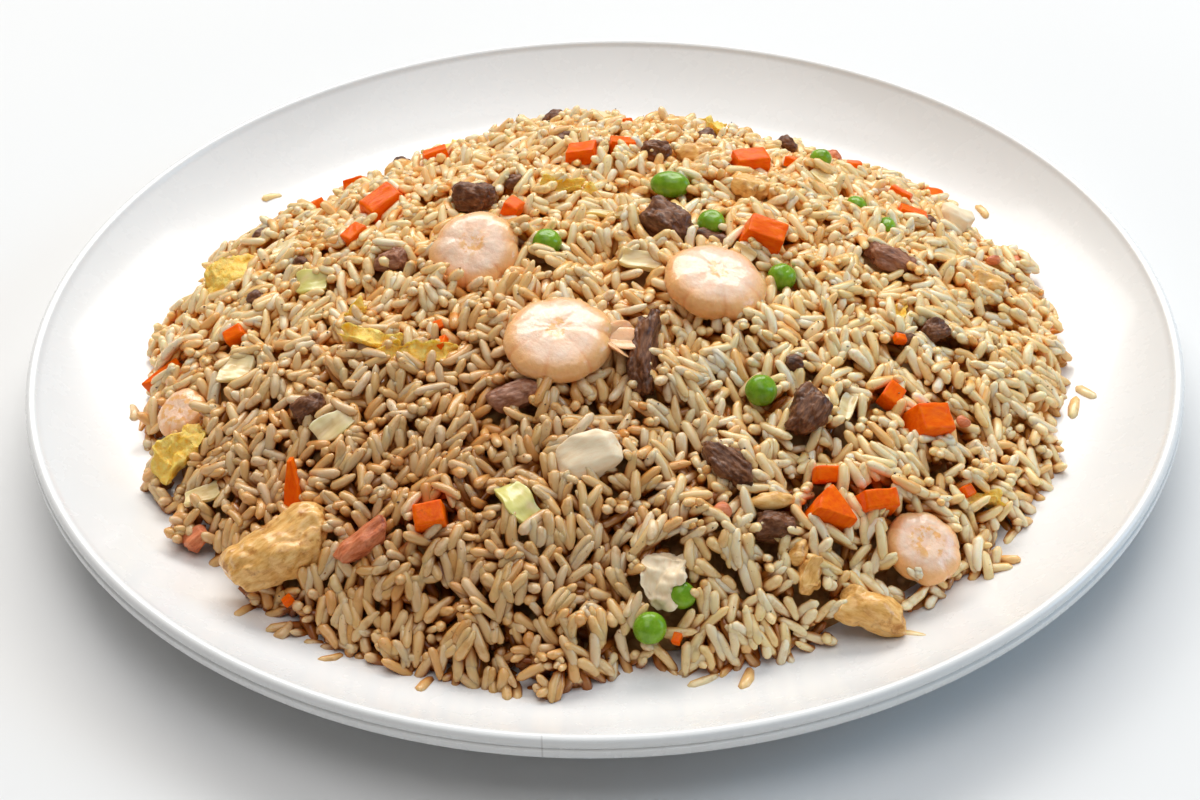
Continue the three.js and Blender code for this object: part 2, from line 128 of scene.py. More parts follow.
GRAIN = SimpleNamespace(
    most=18000,
    length=(6.8 * MM, 9.8 * MM),
    broken_share=0.1,
    broken_length=(0.5, 0.8),
    shorter_tries=(1, 0.72),
    radius=(1.22 * MM, 1.55 * MM),
    bluntness=4.6,
    least_section=0.02,
    end_difference=(-0.05, 0.3),
    flatness=(0.78, 0.96),
    bend=0.8 * MM,
    bend_middle=0.4,
    lift_share=0.4,
    sink=1.8 * MM,
    stations=(-1, -0.96, -0.7, 0, 0.7, 0.96, 1),
    sides=7,
    turns_tried=7,
    free_turns_tried=3,
    bundle_spacing=8 * MM,
    bundle_spread=0.55,
    upright_share=0.3,
    unevenness=0.08,
    upright_slopes=(0.5, 1.9),
    upright_sink=0.5,
    piece_penalty=6 * MM,
    on_piece_most=0.2,
    on_piece_chance=0.06,
    below_target=1.1 * MM,
    fill_gap=0.5 * MM,
    hidden_depth=1.8 * MM,
    level_spread=2 * MM,
)

# Lumps and hollows in the poured rice: height, spacing.
RICE_LUMPS = [(1.6 * MM, 14 * MM), (1.5 * MM, 8 * MM), (0.6 * MM, 4.5 * MM)]

# The rice banks up against the larger pieces: how high, over which distance, and how soon in full.
BANK = SimpleNamespace(rise=2.2 * MM, reach=4 * MM, gain=3)

# Rice reaches in under a piece whose underside lies less than below under the heap's surface and
# whose upper side stands more than above over it; the lid is how far it stays under that.
OVERHANG = SimpleNamespace(below=3 * MM, above=2.8 * MM, lid=1.6 * MM)

# Kinds of grain and their share of all grains.
GRAIN_KINDS = {"rice_pale": 0.31, "rice_cream": 0.32, "rice_tan": 0.25, "rice_browned": 0.12}

# Grains that have slid off the heap onto the plate: x, y in millimetres.
STRAY_GRAINS = [
    (-125, -17), (-122, -21), (-65, -112), (-43, -121), (21, -121), (31, -121), (127, -20),
    (123, -25), (-87, -95), (70, -109), (96, -84), (-98, 84), (62, 108), (-30, 121), (112, 66),
]

# Further small pieces of each kind: x, y, length, width, height (mm), turn (degrees).
SMALL_PIECES = {
    "carrot": [
        (-23, 13, 5, 4.5, 4, 60), (-96, -12, 5.5, 4, 4, 15), (52.5, -76.5, 6.5, 4, 4, 10),
        (87.5, -70.5, 3.5, 3, 3, 40), (-41.4, -29.6, 3, 2.5, 2, 10), (-39.9, -37.1, 3.5, 2, 2, 80),
        (-75.9, -98.1, 2.6, 2, 2, 30), (15.2, -114.2, 2.6, 2, 2, 70), (75, -30.6, 3, 2.4, 2, 5),
    ],
    "pea": [
        (16.7, -106.6, 7, 6.8, 6.5, 0), (-27, 73.3, 6, 3, 3, 10),
    ],
    "beef": [
        (-22.8, 30.9, 5.5, 4.5, 4, 30), (-91.4, 0.8, 5, 4, 3.5, 0), (-9.1, 59, 6.5, 4.5, 4, 20),
        (90.6, 29.7, 5, 4.5, 4, 50), (28.5, 0.5, 13, 6, 5, -22), (46.8, -46.4, 6, 5.5, 5, 0),
        (77.2, -29.3, 8, 3.5, 3, -10),
    ],
    "chicken": [
        (39.4, -85.7, 12, 4, 4, 5), (44.7, -96, 8, 4.5, 4, 60),
    ],
    "ham": [
        (26.8, -89.2, 6, 4.5, 6, 80), (88.7, -50.9, 4.5, 3.5, 3, 15), (107.7, 23.3, 4, 3, 3, 15),
    ],
    "egg": [
        (-57.4, -32.7, 16, 4, 1.4, -14), (92.5, -71.2, 9, 5, 1.4, 20),
        (77.8, -17.7, 5, 4.5, 1.3, 80), (-10.5, 23, 11, 2.5, 1.1, -20), (-4, 20, 9, 2.2, 1.1, 30),
        (-62, -20, 6, 3, 1.2, 60),
    ],
    "cabbage": [
        (-100, -62, 9, 6, 1.4, 10), (0, 9.3, 12, 3, 1.6, -30), (9.9, -12, 11, 4.5, 1.4, -25),
        (58.9, -57.5, 9, 5, 1.2, 70),
    ],
}

# Pieces on the far slope of the heap, in the same mix: kind, how many, length range (mm).
FAR_SIDE_PIECES = [
    ("carrot", 7, (4, 8)),
    ("pea", 3, (6.8, 7.4)),
    ("beef", 6, (5, 10)),
    ("chicken", 5, (6, 11)),
    ("ham", 2, (4, 8)),
    ("egg", 4, (7, 13)),
    ("cabbage", 5, (6, 11)),
]
FAR_SIDE = SimpleNamespace(angle=(8, 172), share=(0.62, 0.97), clearance=11 * MM,
                           width=(0.6, 0.9), height=(0.7, 1))
# How a small piece lies: its rise as a share of its height, how far it tips, its first seed.
SMALL = SimpleNamespace(rise=0.1, tip=0.35, first_seed=30)

# Specks: how many of each tone, how far out they lie, and the size and proportions of a speck.
SPECKS = SimpleNamespace(dark=320, amber=520, green=24, reach=0.98, size=(0.22 * MM, 0.5 * MM),
                         corner=(0.3, 1.2), proportions=(1.3, 0.8, 0.5))

CAMERA = SimpleNamespace(
    lens=69,
    sensor=36,
    distance=614.9 * MM,
    elevation=36.48,
    yaw=-0.12,
    pitch=1.95,
    roll=1.47,
)

# Lights: name, place and size (m), power (W), colour.
LIGHTS = [
    ("window_behind", (0.0, 3.0, 2.8), (4.4, 1.8), 172, (1.0, 0.975, 0.93)),
    ("soft_overhead", (0.0, -0.2, 3.8), (3.2, 3.2), 64, (1.0, 1.0, 1.0)),
    ("cool_right", (3.4, 0.3, 1.6), (1.6, 1.6), 34, (0.35, 0.68, 1.0)),
]
AMBIENT = SimpleNamespace(colour=(1.0, 0.985, 0.965), strength=0.18)
TABLE_HALF = 3.0

# ---- The shape of the heap ----


def heap_radius(angle):
    """Distance from the middle to the heap's outline, for angles in radians."""
    radius = np.full_like(angle, HEAP.radius)
    for count, reach, degrees in OUTLINE_BULGES:
        radius = radius + reach * np.cos(count * (angle - math.radians(degrees)))
    return radius


def heap_share(x, y):
    """0 at the heap's middle, 1 at its outline."""
    return np.hypot(x, y) / heap_radius(np.arctan2(y, x))


def heap_top(x, y):
    """Height of the heap's surface over the table."""
    x, y = np.asarray(x, float), np.asarray(y, float)
    share = np.minimum(heap_share(x, y), 1)
    dome = (1 - share**HEAP.shoulder) ** HEAP.roundness
    swell = sum(
        height * np.sin(x * math.tau / span_x + start) * np.sin(y * math.tau / span_y + start)
        for height, span_x, span_y, start in TOP_SWELLS
    )
    return PLATE.floor_top + HEAP.edge + (HEAP.height - HEAP.edge + swell) * dome


def heap_normal(x, y):
    """The way the heap's surface faces, less steep near its edge."""
    step = 6 * MM
    steepest = 0.5
    slope = Vector((
        float(heap_top(x - step, y) - heap_top(x + step, y)) / (2 * step),
        float(heap_top(x, y - step) - heap_top(x, y + step)) / (2 * step),
    ))
    if slope.length > steepest:
        slope = slope.normalized() * steepest
    return Vector((slope.x, slope.y, 1)).normalized()


def core_top(x, y):
    """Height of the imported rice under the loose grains; 0 beside the heap."""
    share = heap_share(x, y) / HEAP.core_share
    depth = HEAP.core_depth
    return np.where(share < 1, heap_top(x / HEAP.core_share, y / HEAP.core_share) - depth, 0)


def arc(centre, radius, degrees, steps):
    angles = np.radians(np.linspace(*degrees, steps + 1))
    return np.stack([centre[0] + radius * np.cos(angles),
                     centre[1] + radius * np.sin(angles)], -1)


def bead_points():
    """The round bead on top of the rim, from its outside over the top to its inside."""
    middle = (PLATE.radius - PLATE.bead_radius - PLATE.bead_inset,
              PLATE.height - PLATE.bead_radius)
    return arc(middle, PLATE.bead_radius, PLATE.bead_arc, PLATE.steps_arc)


def plate_top(radius):
    """Height of the plate's upper surface at a distance from its middle."""
    rim_radius, rim_height = bead_points()[-1]
    share = np.clip((radius - PLATE.floor_radius) / (rim_radius - PLATE.floor_radius), 0, 1)
    return PLATE.floor_top + (rim_height - PLATE.floor_top) * share**PLATE.wall_curve


# ---- Node materials ----


def opaque(colour):
    """A colour with full cover. A node's output stays as it is."""
    return (*colour, 1) if isinstance(colour, tuple) else colour


class Shader:
    """A node material, built up by short calls. Sizes of patterns are in metres."""

    def __init__(self, name, **values):
        self.material = bpy.data.materials.new(name)
        self.material.use_nodes = True
        self.tree = self.material.node_tree
        self.surface = self.tree.nodes["Principled BSDF"]
        for socket, value in values.items():
            self.surface.inputs[socket.replace("_", " ")].default_value = value
        self.place = self.node("TexCoord").outputs["Object"]

    def node(self, kind, inputs=None, **settings):
        """A new node with its settings, and with a value or another node fed to its inputs."""
        made = self.tree.nodes.new(f"ShaderNode{kind}")
        for key, value in settings.items():
            setattr(made, key, value)
        for socket, source in (inputs or {}).items():
            self.feed(made.inputs[socket], source)
        return made

    def feed(self, socket, source):
        if isinstance(source, bpy.types.NodeSocket):
            self.tree.links.new(source, socket)
        else:
            socket.default_value = source

    def noise(self, size, detail=3, roughness=0.55, stretch=None):
        """Cloudy noise, drawn out along some of the piece's axes where stretch is given."""
        place = self.place
        if stretch:
            place = self.node("Mapping", {"Vector": place, "Scale": stretch}).outputs["Vector"]
        inputs = {"Vector": place, "Scale": 1 / size, "Detail": detail, "Roughness": roughness}
        return self.node("TexNoise", inputs).outputs["Fac"]

    def cells(self, size):
        """Distance from the middles of scattered cells."""
        inputs = {"Vector": self.place, "Scale": 1 / size}
        return self.node("TexVoronoi", inputs).outputs["Distance"]

    def axis(self, name):
        """The place along one axis of the object's frame, in metres."""
        return self.node("SeparateXYZ", {"Vector": self.place}).outputs[name]

    def from_origin(self):
        """Distance from the object's origin, in metres."""
        return self.node("VectorMath", {0: self.place}, operation="LENGTH").outputs["Value"]

    def attribute(self, name):
        return self.node("Attribute", attribute_name=name).outputs["Fac"]

    def per_island(self):
        """A value from 0 to 1 that differs between the loose parts of a joined mesh."""
        return self.node("NewGeometry").outputs["Random Per Island"]

    def between(self, value, low, high):
        """The value stretched so that low becomes 0 and high becomes 1, with soft ends."""
        inputs = {"Value": value, "From Min": low, "From Max": high}
        return self.node("MapRange", inputs, interpolation_type="SMOOTHSTEP").outputs["Result"]

    def patches(self, low, high, size, detail=3, roughness=0.55):
        """0 where the noise is under low, 1 where it is over high."""
        return self.between(self.noise(size, detail, roughness), low, high)

    def times(self, first, second):
        made = self.node("Math", {0: first, 1: second}, operation="MULTIPLY", use_clamp=True)
        return made.outputs["Value"]

    def ramp(self, value, stops):
        """A colour for each value, through (position, (red, green, blue)) stops."""
        made = self.node("ValToRGB", {"Fac": value})
        elements = made.color_ramp.elements
        while len(elements) < len(stops):
            elements.new(0.5)
        for element, (position, colour) in zip(elements, stops):
            element.position = position
            element.color = opaque(colour)
        return made.outputs["Color"]

    def mix(self, factor, first, second, blend="MIX"):
        first_colour, second_colour, result = 6, 7, 2
        inputs = {"Factor": factor, first_colour: opaque(first), second_colour: opaque(second)}
        return self.node("Mix", inputs, data_type="RGBA", blend_type=blend).outputs[result]

    def tint(self, base, cover, weight, colour, blend="MIX"):
        """The base with a colour over it where cover is 1, as strong as weight."""
        return self.mix(self.times(cover, weight), base, colour, blend)

    def colour(self, source):
        self.feed(self.surface.inputs["Base Color"], source)

    def roughness(self, value, low, high):
        """Roughness that runs from low to high with a value from 0 to 1."""
        made = self.node("MapRange", {"Value": value, "To Min": low, "To Max": high})
        self.feed(self.surface.inputs["Roughness"], made.outputs["Result"])

    def bump(self, height, depth, strength=1.0):
        made = self.node("Bump", {"Distance": depth, "Strength": strength, "Height": height})
        self.feed(self.surface.inputs["Normal"], made.outputs["Normal"])


def moist(weight, radius=(1.0, 0.55, 0.3), scale=1.6 * MM):
    """Settings of a surface that light soaks into."""
    return {
        "Subsurface_Weight": weight,
        "Subsurface_Radius": radius,
        "Subsurface_Scale": scale,
    }


# Grain colours: clean, usual and deepest tone of each kind.
RICE_TONES = {
    "rice_pale": ((1.0, 0.87, 0.66), (1.0, 0.84, 0.59), (1.0, 0.81, 0.52)),
    "rice_cream": ((1.0, 0.82, 0.53), (1.0, 0.79, 0.47), (1.0, 0.76, 0.41)),
    "rice_tan": ((1.0, 0.78, 0.45), (1.0, 0.74, 0.38), (0.99, 0.70, 0.33)),
    "rice_browned": ((0.99, 0.70, 0.37), (0.96, 0.63, 0.28), (0.89, 0.52, 0.19)),
}
SOY_REGION = (0.94, 0.76, 0.50)
SOY_STAIN = (0.66, 0.40, 0.13)
SOY_DOT = (0.36, 0.16, 0.04)
# The colour that darkens the heap's front and left: partly a soy stain, partly painted shade of
# that side.
SOY_AND_SHADE_FRONT = (0.73, 0.60, 0.47)
FRONT_FROM_TO = (20 * MM, -80 * MM)
LEFT_FROM_TO = (65 * MM, -35 * MM)
# Painted shade at the grains' edges: a darker, warmer colour where a grain's surface turns away
# from the camera.
GRAIN_EDGE_PAINTED_SHADE = (0.97, 0.70, 0.40)
# Soy and painted shade between the grains: at the back of the heap, and at its front.
SOY_AND_SHADE_BETWEEN = ((1.0, 0.64, 0.25), (0.46, 0.22, 0.055))
# How deep under the grains' tops the soy and painted shade set in and are full, in millimetres.
SOY_AND_SHADE_DEPTHS = (0.2, 2.1)


def rice_material(name):
    """Cooked grain: clean on top and stained with soy in patches; darker between the grains and on
    the heap's front and left, partly soy and partly painted shade; with painted shade at the
    grains' edges as the camera sees them.
    """
    light, usual, deep = RICE_TONES[name]
    shader = Shader(name, Coat_Weight=0.4, Coat_Roughness=0.1,
                    Specular_IOR_Level=0.35, **moist(0.4, (1.0, 0.65, 0.35), 2.6 * MM))
    base = shader.ramp(shader.per_island(), [(0.0, light), (0.5, usual), (1.0, deep)])
    region = shader.patches(0.45, 0.65, 14 * MM, 3)
    base = shader.tint(base, region, 0.45, SOY_REGION, "MULTIPLY")
    stain = shader.patches(0.50, 0.72, 3.2 * MM, 4, 0.6)
    base = shader.tint(base, stain, 0.55, SOY_STAIN)
    dots = shader.patches(0.68, 0.78, 0.9 * MM, 2, 0.5)
    base = shader.tint(base, dots, 0.6, SOY_DOT)
    front = shader.between(shader.axis("Y"), *FRONT_FROM_TO)
    # Darker deeper down between the grains, and more so in front: partly soy, partly painted
    # shade.
    deep_down = shader.between(shader.attribute("depth"), *SOY_AND_SHADE_DEPTHS)
    base = shader.mix(deep_down, base, shader.mix(front, *SOY_AND_SHADE_BETWEEN), "MULTIPLY")
    # Darker on the heap's front and left: partly soy, partly painted shade.
    left = shader.between(shader.axis("X"), *LEFT_FROM_TO)
    base = shader.tint(base, front, left, SOY_AND_SHADE_FRONT, "MULTIPLY")
    # Painted shade: the grains' edges, as the camera sees them, are multiplied by a darker, warmer
    # colour.
    facing = shader.node("LayerWeight").outputs["Facing"]
    base = shader.mix(shader.between(facing, 0.2, 0.9), base, GRAIN_EDGE_PAINTED_SHADE, "MULTIPLY")
    shader.colour(base)
    shader.roughness(shader.noise(2.5 * MM, 2), 0.22, 0.42)
    shader.bump(shader.noise(1.4 * MM, 2), 0.05 * MM)
    return shader.material


def core_material():
    shader = Shader("rice_core", Roughness=0.6, **moist(0.2))
    lumps = shader.cells(2.6 * MM)
    # The core is coloured as soy-stained rice in shade, a darker brown than the grains: partly
    # soy, partly painted shade of the rice below them.
    shader.colour(shader.ramp(lumps, [(0.0, (0.66, 0.38, 0.13)), (0.6, (0.42, 0.20, 0.05))]))
    shader.bump(lumps, 0.9 * MM)
    return shader.material


# A faint hairline across the near rim.
RIM_MARK = SimpleNamespace(x=-15.5 * MM, half_width=0.35 * MM, from_y=-149 * MM, to_y=-150 * MM,
                           strength=0.5, colour=(0.42, 0.40, 0.38))


def glaze_material():
    shader = Shader("glaze", Coat_Weight=0.2, Coat_Roughness=0.08, IOR=1.45)
    cloud = shader.noise(45 * MM, 2)
    base = shader.ramp(cloud, [(0.3, (0.82, 0.82, 0.813)), (0.7, (0.84, 0.841, 0.835))])
    left = shader.between(shader.axis("X"), RIM_MARK.x - RIM_MARK.half_width, RIM_MARK.x)
    right = shader.between(shader.axis("X"), RIM_MARK.x + RIM_MARK.half_width, RIM_MARK.x)
    near = shader.between(shader.axis("Y"), RIM_MARK.from_y, RIM_MARK.to_y)
    mark = shader.times(shader.times(left, right), near)
    shader.colour(shader.tint(base, mark, RIM_MARK.strength, RIM_MARK.colour))
    shader.roughness(shader.noise(9 * MM, 4), 0.2, 0.34)
    shader.bump(shader.noise(22 * MM, 2), 0.08 * MM, 0.5)
    return shader.material


def carrot_material():
    shader = Shader("carrot", Coat_Weight=0.05, Coat_Roughness=0.1,
                    Specular_IOR_Level=0.1, **moist(0.3, (1, 0.35, 0.05)))
    fibres = shader.noise(1.2 * MM, 4, 0.6, stretch=(0.35, 1, 1))
    base = shader.ramp(fibres, [(0.3, (0.86, 0.09, 0.0004)), (0.7, (1.0, 0.185, 0.001))])
    fried = shader.patches(0.60, 0.78, 4 * MM, 4, 0.7)
    shader.colour(shader.tint(base, fried, 0.7, (0.42, 0.045, 0.002)))
    shader.roughness(fibres, 0.24, 0.42)
    shader.bump(fibres, 0.15 * MM)
    return shader.material


def pea_material():
    shader = Shader("pea", Coat_Weight=0.25, Coat_Roughness=0.1, Specular_IOR_Level=0.25,
                    **moist(0.3, (0.4, 1.0, 0.2)))
    cloud = shader.noise(3 * MM, 3)
    shader.colour(shader.ramp(cloud, [(0.3, (0.13, 0.29, 0.008)), (0.7, (0.26, 0.46, 0.02))]))
    shader.roughness(shader.noise(1.5 * MM, 3), 0.18, 0.36)
    shader.bump(shader.noise(0.9 * MM, 3), 0.06 * MM)
    return shader.material


def prawn_material():
    """White flesh, warmer round its side, in its grooves and at its tail, browned at its hub."""
    shader = Shader("prawn", Coat_Weight=0.5, Coat_Roughness=0.12, Specular_IOR_Level=0.4,
                    **moist(0.3, (1.0, 0.5, 0.35), 2.5 * MM))
    flesh = shader.noise(3.5 * MM, 5, 0.65)
    base = shader.ramp(flesh, [(0.3, (1.0, 0.60, 0.39)), (0.7, (1.0, 0.74, 0.57))])
    outward = shader.attribute("outward")
    base = shader.tint(base, shader.between(outward, 0.58, 0.95), 0.9, (1.0, 0.50, 0.17))
    streaks = shader.patches(0.5, 0.75, 2.2 * MM, 4, 0.6)
    blush = shader.times(streaks, shader.between(outward, 0.75, 1.0))
    base = shader.tint(base, blush, 0.5, (0.90, 0.42, 0.17))
    marks = shader.patches(0.46, 0.58, 2.2 * MM, 3, 0.6)
    marks = shader.times(marks, shader.between(shader.from_origin(), 6.6 * MM, 5 * MM))
    base = shader.tint(base, marks, 0.75, (0.88, 0.42, 0.07))
    base = shader.tint(base, shader.attribute("groove"), 0.5, (0.85, 0.27, 0.07))
    base = shader.tint(base, shader.attribute("tail"), 0.75, (0.96, 0.42, 0.14))
    shader.colour(base)
    shader.roughness(shader.noise(2 * MM, 3), 0.2, 0.38)
    shader.bump(shader.noise(1.8 * MM, 4), 0.32 * MM)
    return shader.material


# Meats: dark, usual, light and browned colour, and the noise level at which browning starts.
MEAT_TONES = {
    "beef": ((0.05, 0.015, 0.005), (0.16, 0.055, 0.02), (0.36, 0.16, 0.07),
             (0.03, 0.009, 0.003), 0.56),
    "beef_light": ((0.17, 0.06, 0.03), (0.34, 0.14, 0.075), (0.52, 0.27, 0.16),
                   (0.10, 0.03, 0.012), 0.62),
    "chicken": ((0.62, 0.27, 0.05), (0.86, 0.48, 0.14), (0.98, 0.66, 0.29),
                (0.42, 0.14, 0.015), 0.53),
    "chicken_pale": ((0.94, 0.70, 0.44), (0.98, 0.79, 0.54), (1.0, 0.86, 0.63),
                     (0.76, 0.44, 0.16), 0.66),
    "ham": ((0.46, 0.10, 0.03), (0.70, 0.21, 0.085), (0.84, 0.36, 0.18),
            (0.30, 0.05, 0.015), 0.58),
}
# Meats that aren't like the rest: their gloss, and the depth of their fibres.
MEAT_GLOSS = {"chicken": 0.5}
MEAT_FIBRES = {"chicken": 0.05 * MM, "chicken_pale": 0.1 * MM}


def meat_material(name):
    """Fried meat, with fibres along the piece and patches of crust."""
    dark, usual, light, browned, crust_from = MEAT_TONES[name]
    shader = Shader(name, Coat_Weight=MEAT_GLOSS.get(name, 0.2), Coat_Roughness=0.14,
                    Specular_IOR_Level=0.2, **moist(0.08))
    fibres = shader.noise(1.1 * MM, 5, 0.65, stretch=(0.3, 1, 1))
    base = shader.ramp(fibres, [(0.3, dark), (0.5, usual), (0.72, light)])
    crust = shader.patches(crust_from, crust_from + 0.16, 4.5 * MM, 4, 0.6)
    shader.colour(shader.tint(base, crust, 0.85, browned))
    shader.roughness(shader.noise(1.8 * MM, 3), 0.28, 0.55)
    shader.bump(fibres, MEAT_FIBRES.get(name, 0.25 * MM))
    return shader.material


def egg_material():
    shader = Shader("egg", Coat_Weight=0.1, Coat_Roughness=0.3,
                    Specular_IOR_Level=0.3, **moist(0.3, (1, 0.7, 0.2)))
    curds = shader.noise(2.2 * MM, 5, 0.7)
    base = shader.ramp(curds, [(0.35, (1.0, 0.52, 0.03)), (0.65, (1.0, 0.77, 0.22))])
    fried = shader.patches(0.60, 0.78, 3.5 * MM, 4, 0.6)
    shader.colour(shader.tint(base, fried, 0.5, (0.56, 0.26, 0.05)))
    shader.roughness(curds, 0.3, 0.5)
    shader.bump(shader.noise(0.9 * MM, 4), 0.5 * MM)
    return shader.material


# Leaves: the noise level at which green starts, and how green it is there.
LEAF_GREENS = {"cabbage": (0.54, 0.3), "cabbage_green": (0.3, 0.75)}


def cabbage_material(name):
    """Fried leaf, with veins along it and green in places."""
    green_from, green_weight = LEAF_GREENS[name]
    shader = Shader(name, Coat_Weight=0.3, Coat_Roughness=0.15,
                    **moist(0.45, (1.0, 0.9, 0.5), 2 * MM))
    veins = shader.noise(2.4 * MM, 3, 0.5, stretch=(0.2, 1, 1))
    base = shader.ramp(veins, [(0.35, (0.78, 0.55, 0.24)), (0.65, (0.95, 0.77, 0.44))])
    green = shader.patches(green_from, green_from + 0.16, 9 * MM, 2)
    shader.colour(shader.tint(base, green, green_weight, (0.68, 0.66, 0.16)))
    shader.roughness(veins, 0.2, 0.38)
    shader.bump(veins, 0.2 * MM)
    return shader.material


SPECK_COLOURS = {
    "speck_dark": (0.07, 0.035, 0.02),
    "speck_amber": (0.50, 0.20, 0.04),
    "speck_green": (0.05, 0.14, 0.02),
}


def speck_material(name):
    colour = SPECK_COLOURS[name]
    shader = Shader(name, Roughness=0.5)
    tone = shader.noise(0.6 * MM, 2)
    shader.colour(shader.mix(tone, colour, tuple(channel * 0.5 for channel in colour)))
    return shader.material


def floor_material():
    shader = Shader("table", Roughness=0.6, Specular_IOR_Level=0.1)
    cloud = shader.noise(0.25, 2)
    shader.colour(shader.ramp(cloud, [(0.3, (0.78, 0.78, 0.78)), (0.7, (0.80, 0.80, 0.80))]))
    return shader.material


def make_materials():
    families = [
        (rice_material, RICE_TONES),
        (meat_material, MEAT_TONES),
        (cabbage_material, LEAF_GREENS),
        (speck_material, SPECK_COLOURS),
    ]
    made = {name: make(name) for make, names in families for name in names}
    made.update({
        "core": core_material(),
        "glaze": glaze_material(),
        "carrot": carrot_material(),
        "pea": pea_material(),
        "prawn": prawn_material(),
        "egg": egg_material(),
        "floor": floor_material(),
    })
    return made


# ---- Making mesh objects ----


def add_object(name, mesh, material, matrix=None):
    made = bpy.data.objects.new(name, mesh)
    if matrix is not None:
        made.matrix_world = matrix
    bpy.context.scene.collection.objects.link(made)
    mesh.materials.clear()
    mesh.materials.append(material)
    mesh.polygons.foreach_set("use_smooth", np.ones(len(mesh.polygons), bool))
    return made


def mesh_from_arrays(name, points, faces):
    mesh = bpy.data.meshes.new(name)
    mesh.from_pydata(points.tolist(), [], faces.tolist())
    mesh.validate()
    return mesh


def tube_faces(rings, sides, first=0):
    """Quads between rings of points that are stored one after another."""
    ring, side = np.meshgrid(np.arange(rings - 1), np.arange(sides), indexing="ij")
    here = ring * sides + side
    across = ring * sides + (side + 1) % sides
    return np.stack([here, across, across + sides, here + sides], -1).reshape(-1, 4) + first


def own_axes(points):
    """The piece's own frame: its middle, with x along its length and z nearest to up."""
    middle = points.mean(0)
    _, _, axes = np.linalg.svd(points - middle)
    length = Vector(axes[0])
    rest = [Vector(axes[1]), Vector(axes[2])]
    up = max(rest, key=lambda axis: abs(axis.z))
    up = up if up.z > 0 else -up
    across = up.cross(length).normalized()
    turn = Matrix((length, across, up)).transposed()
    return Matrix.Translation(Vector(middle)) @ turn.to_4x4()


def node_points(node):
    points = np.array([vertex.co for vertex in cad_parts[node].data.vertices])
    return np.unique(points.round(7), axis=0)


def node_body(node):
    """A copy of a CAD node's mesh in the piece's own frame, and that frame."""
    matrix = own_axes(node_points(node))
    body = bmesh.new()
    body.from_mesh(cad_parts[node].data)
    body.transform(matrix.inverted())
    bmesh.ops.remove_doubles(body, verts=body.verts, dist=WELD)
    return body, matrix


def refine(body, levels, smoothing):
    """Splits every face four ways, levels times, then rounds the body off."""
    for _ in range(levels):
        bmesh.ops.subdivide_edges(body, edges=body.edges, cuts=1, use_grid_fill=True)
    bmesh.ops.triangulate(body, faces=body.faces)
    for _ in range(smoothing):
        bmesh.ops.smooth_vert(body, verts=body.verts, factor=0.5,
                              use_axis_x=True, use_axis_y=True, use_axis_z=True)
    body.normal_update()


# How far each next seed moves on through the noise.
SEED_STEP = (7.31, 3.77, 5.19)


def seeded(point, size, seed):
    """A place in the noise that is scaled to a size and moved on by a seed."""
    return point / size + Vector([seed * step for step in SEED_STEP])


def ripple(point, size, seed):
    return noise.noise(seeded(point, size, seed))


def crease(point, size, seed):
    """0 along narrow creases, up to about 1 on the lumps between them."""
    return abs(ripple(point, size, seed))


def shallow_crease(point, size, seed):
    """Creases with flat ground between them, which lie apart from the same seed's ripples."""
    flat_from, moved_on = 0.3, 9
    return min(flat_from, crease(point, size, seed + moved_on))


def no_swell(place):
    return 0


def roughen(body, layers, seed, swell=no_swell):
    """Moves each vertex along its normal, by swell(place) and by layers of relief."""
    moves = []
    for vertex in body.verts:
        x, y, z = vertex.co
        height = swell(vertex.co)
        for kind, rise, size, less, stretch in layers:
            noisy = kind(Vector((x * stretch, y, z)), size * MM, seed)
            height += rise * MM * (noisy - less)
        moves.append((vertex, vertex.normal * height))
    for vertex, move in moves:
        vertex.co += move


def fold(body, size, reach, seed):
    """Moves a thin sheet about as a whole, so that both of its faces keep together."""
    for vertex in body.verts:
        vertex.co += noise.noise_vector(seeded(vertex.co, size, seed)) * reach


def to_mesh(body, name):
    mesh = bpy.data.meshes.new(name)
    body.to_mesh(mesh)
    body.free()
    return mesh


def closed_mesh(name, points, faces, layers=(), seed=0):
    """A mesh whose open ends are filled, with its surface roughened."""
    mesh = mesh_from_arrays(name, points, faces)
    body = bmesh.new()
    body.from_mesh(mesh)
    bmesh.ops.holes_fill(body, edges=[edge for edge in body.edges if edge.is_boundary], sides=0)
    bmesh.ops.recalc_face_normals(body, faces=body.faces)
    roughen(body, layers, seed)
    body.to_mesh(mesh)
    body.free()
    return mesh


# ---- Surface of each kind of piece ----

# For each kind: how often its faces are split and how often it is smoothed, as a larger and as a
# small piece, and its relief. A layer of relief is a noise, its height and spacing in millimetres,
# what is taken off the noise, and its scale along the piece, where under 1 draws it out.
SURFACES = {
    "carrot": ((4, 3), (3, 2), [(ripple, 0.22, 3.5, 0, 1), (ripple, 0.07, 0.9, 0, 1)]),
    "pea": ((2, 1), (5, 5), [(ripple, 0.12, 2, 0, 1)]),
    "beef": ((3, 2), (4, 3), [(crease, 1.5, 5, 0.25, 1), (crease, 0.5, 1.5, 0.2, 0.35),
                              (ripple, 0.3, 0.8, 0, 1)]),
    "chicken": ((3, 2), (4, 3), [(ripple, 1.4, 8, 0, 1), (shallow_crease, 2.2, 6, 0.25, 1),
                                 (ripple, 0.35, 2.4, 0, 1)]),
    "ham": ((3, 2), (3, 2), [(ripple, 0.5, 1.6, 0, 0.4), (ripple, 0.5, 4, 0, 1)]),
    "egg": ((3, 2), (2, 1), [(crease, 0.8, 1.8, 0.15, 1)]),
    "cabbage": ((3, 2), (4, 3), [(ripple, 0.12, 1.1, 0, 0.2)]),
    "smooth_cut": ((3, 3), (3, 3), [(ripple, 0.3, 4, 0, 1), (ripple, 0.1, 1.6, 0, 0.4)]),
}
PRAWN_LAYERS = [(ripple, 0.3, 4, 0, 1), (ripple, 0.1, 1, 0, 1)]
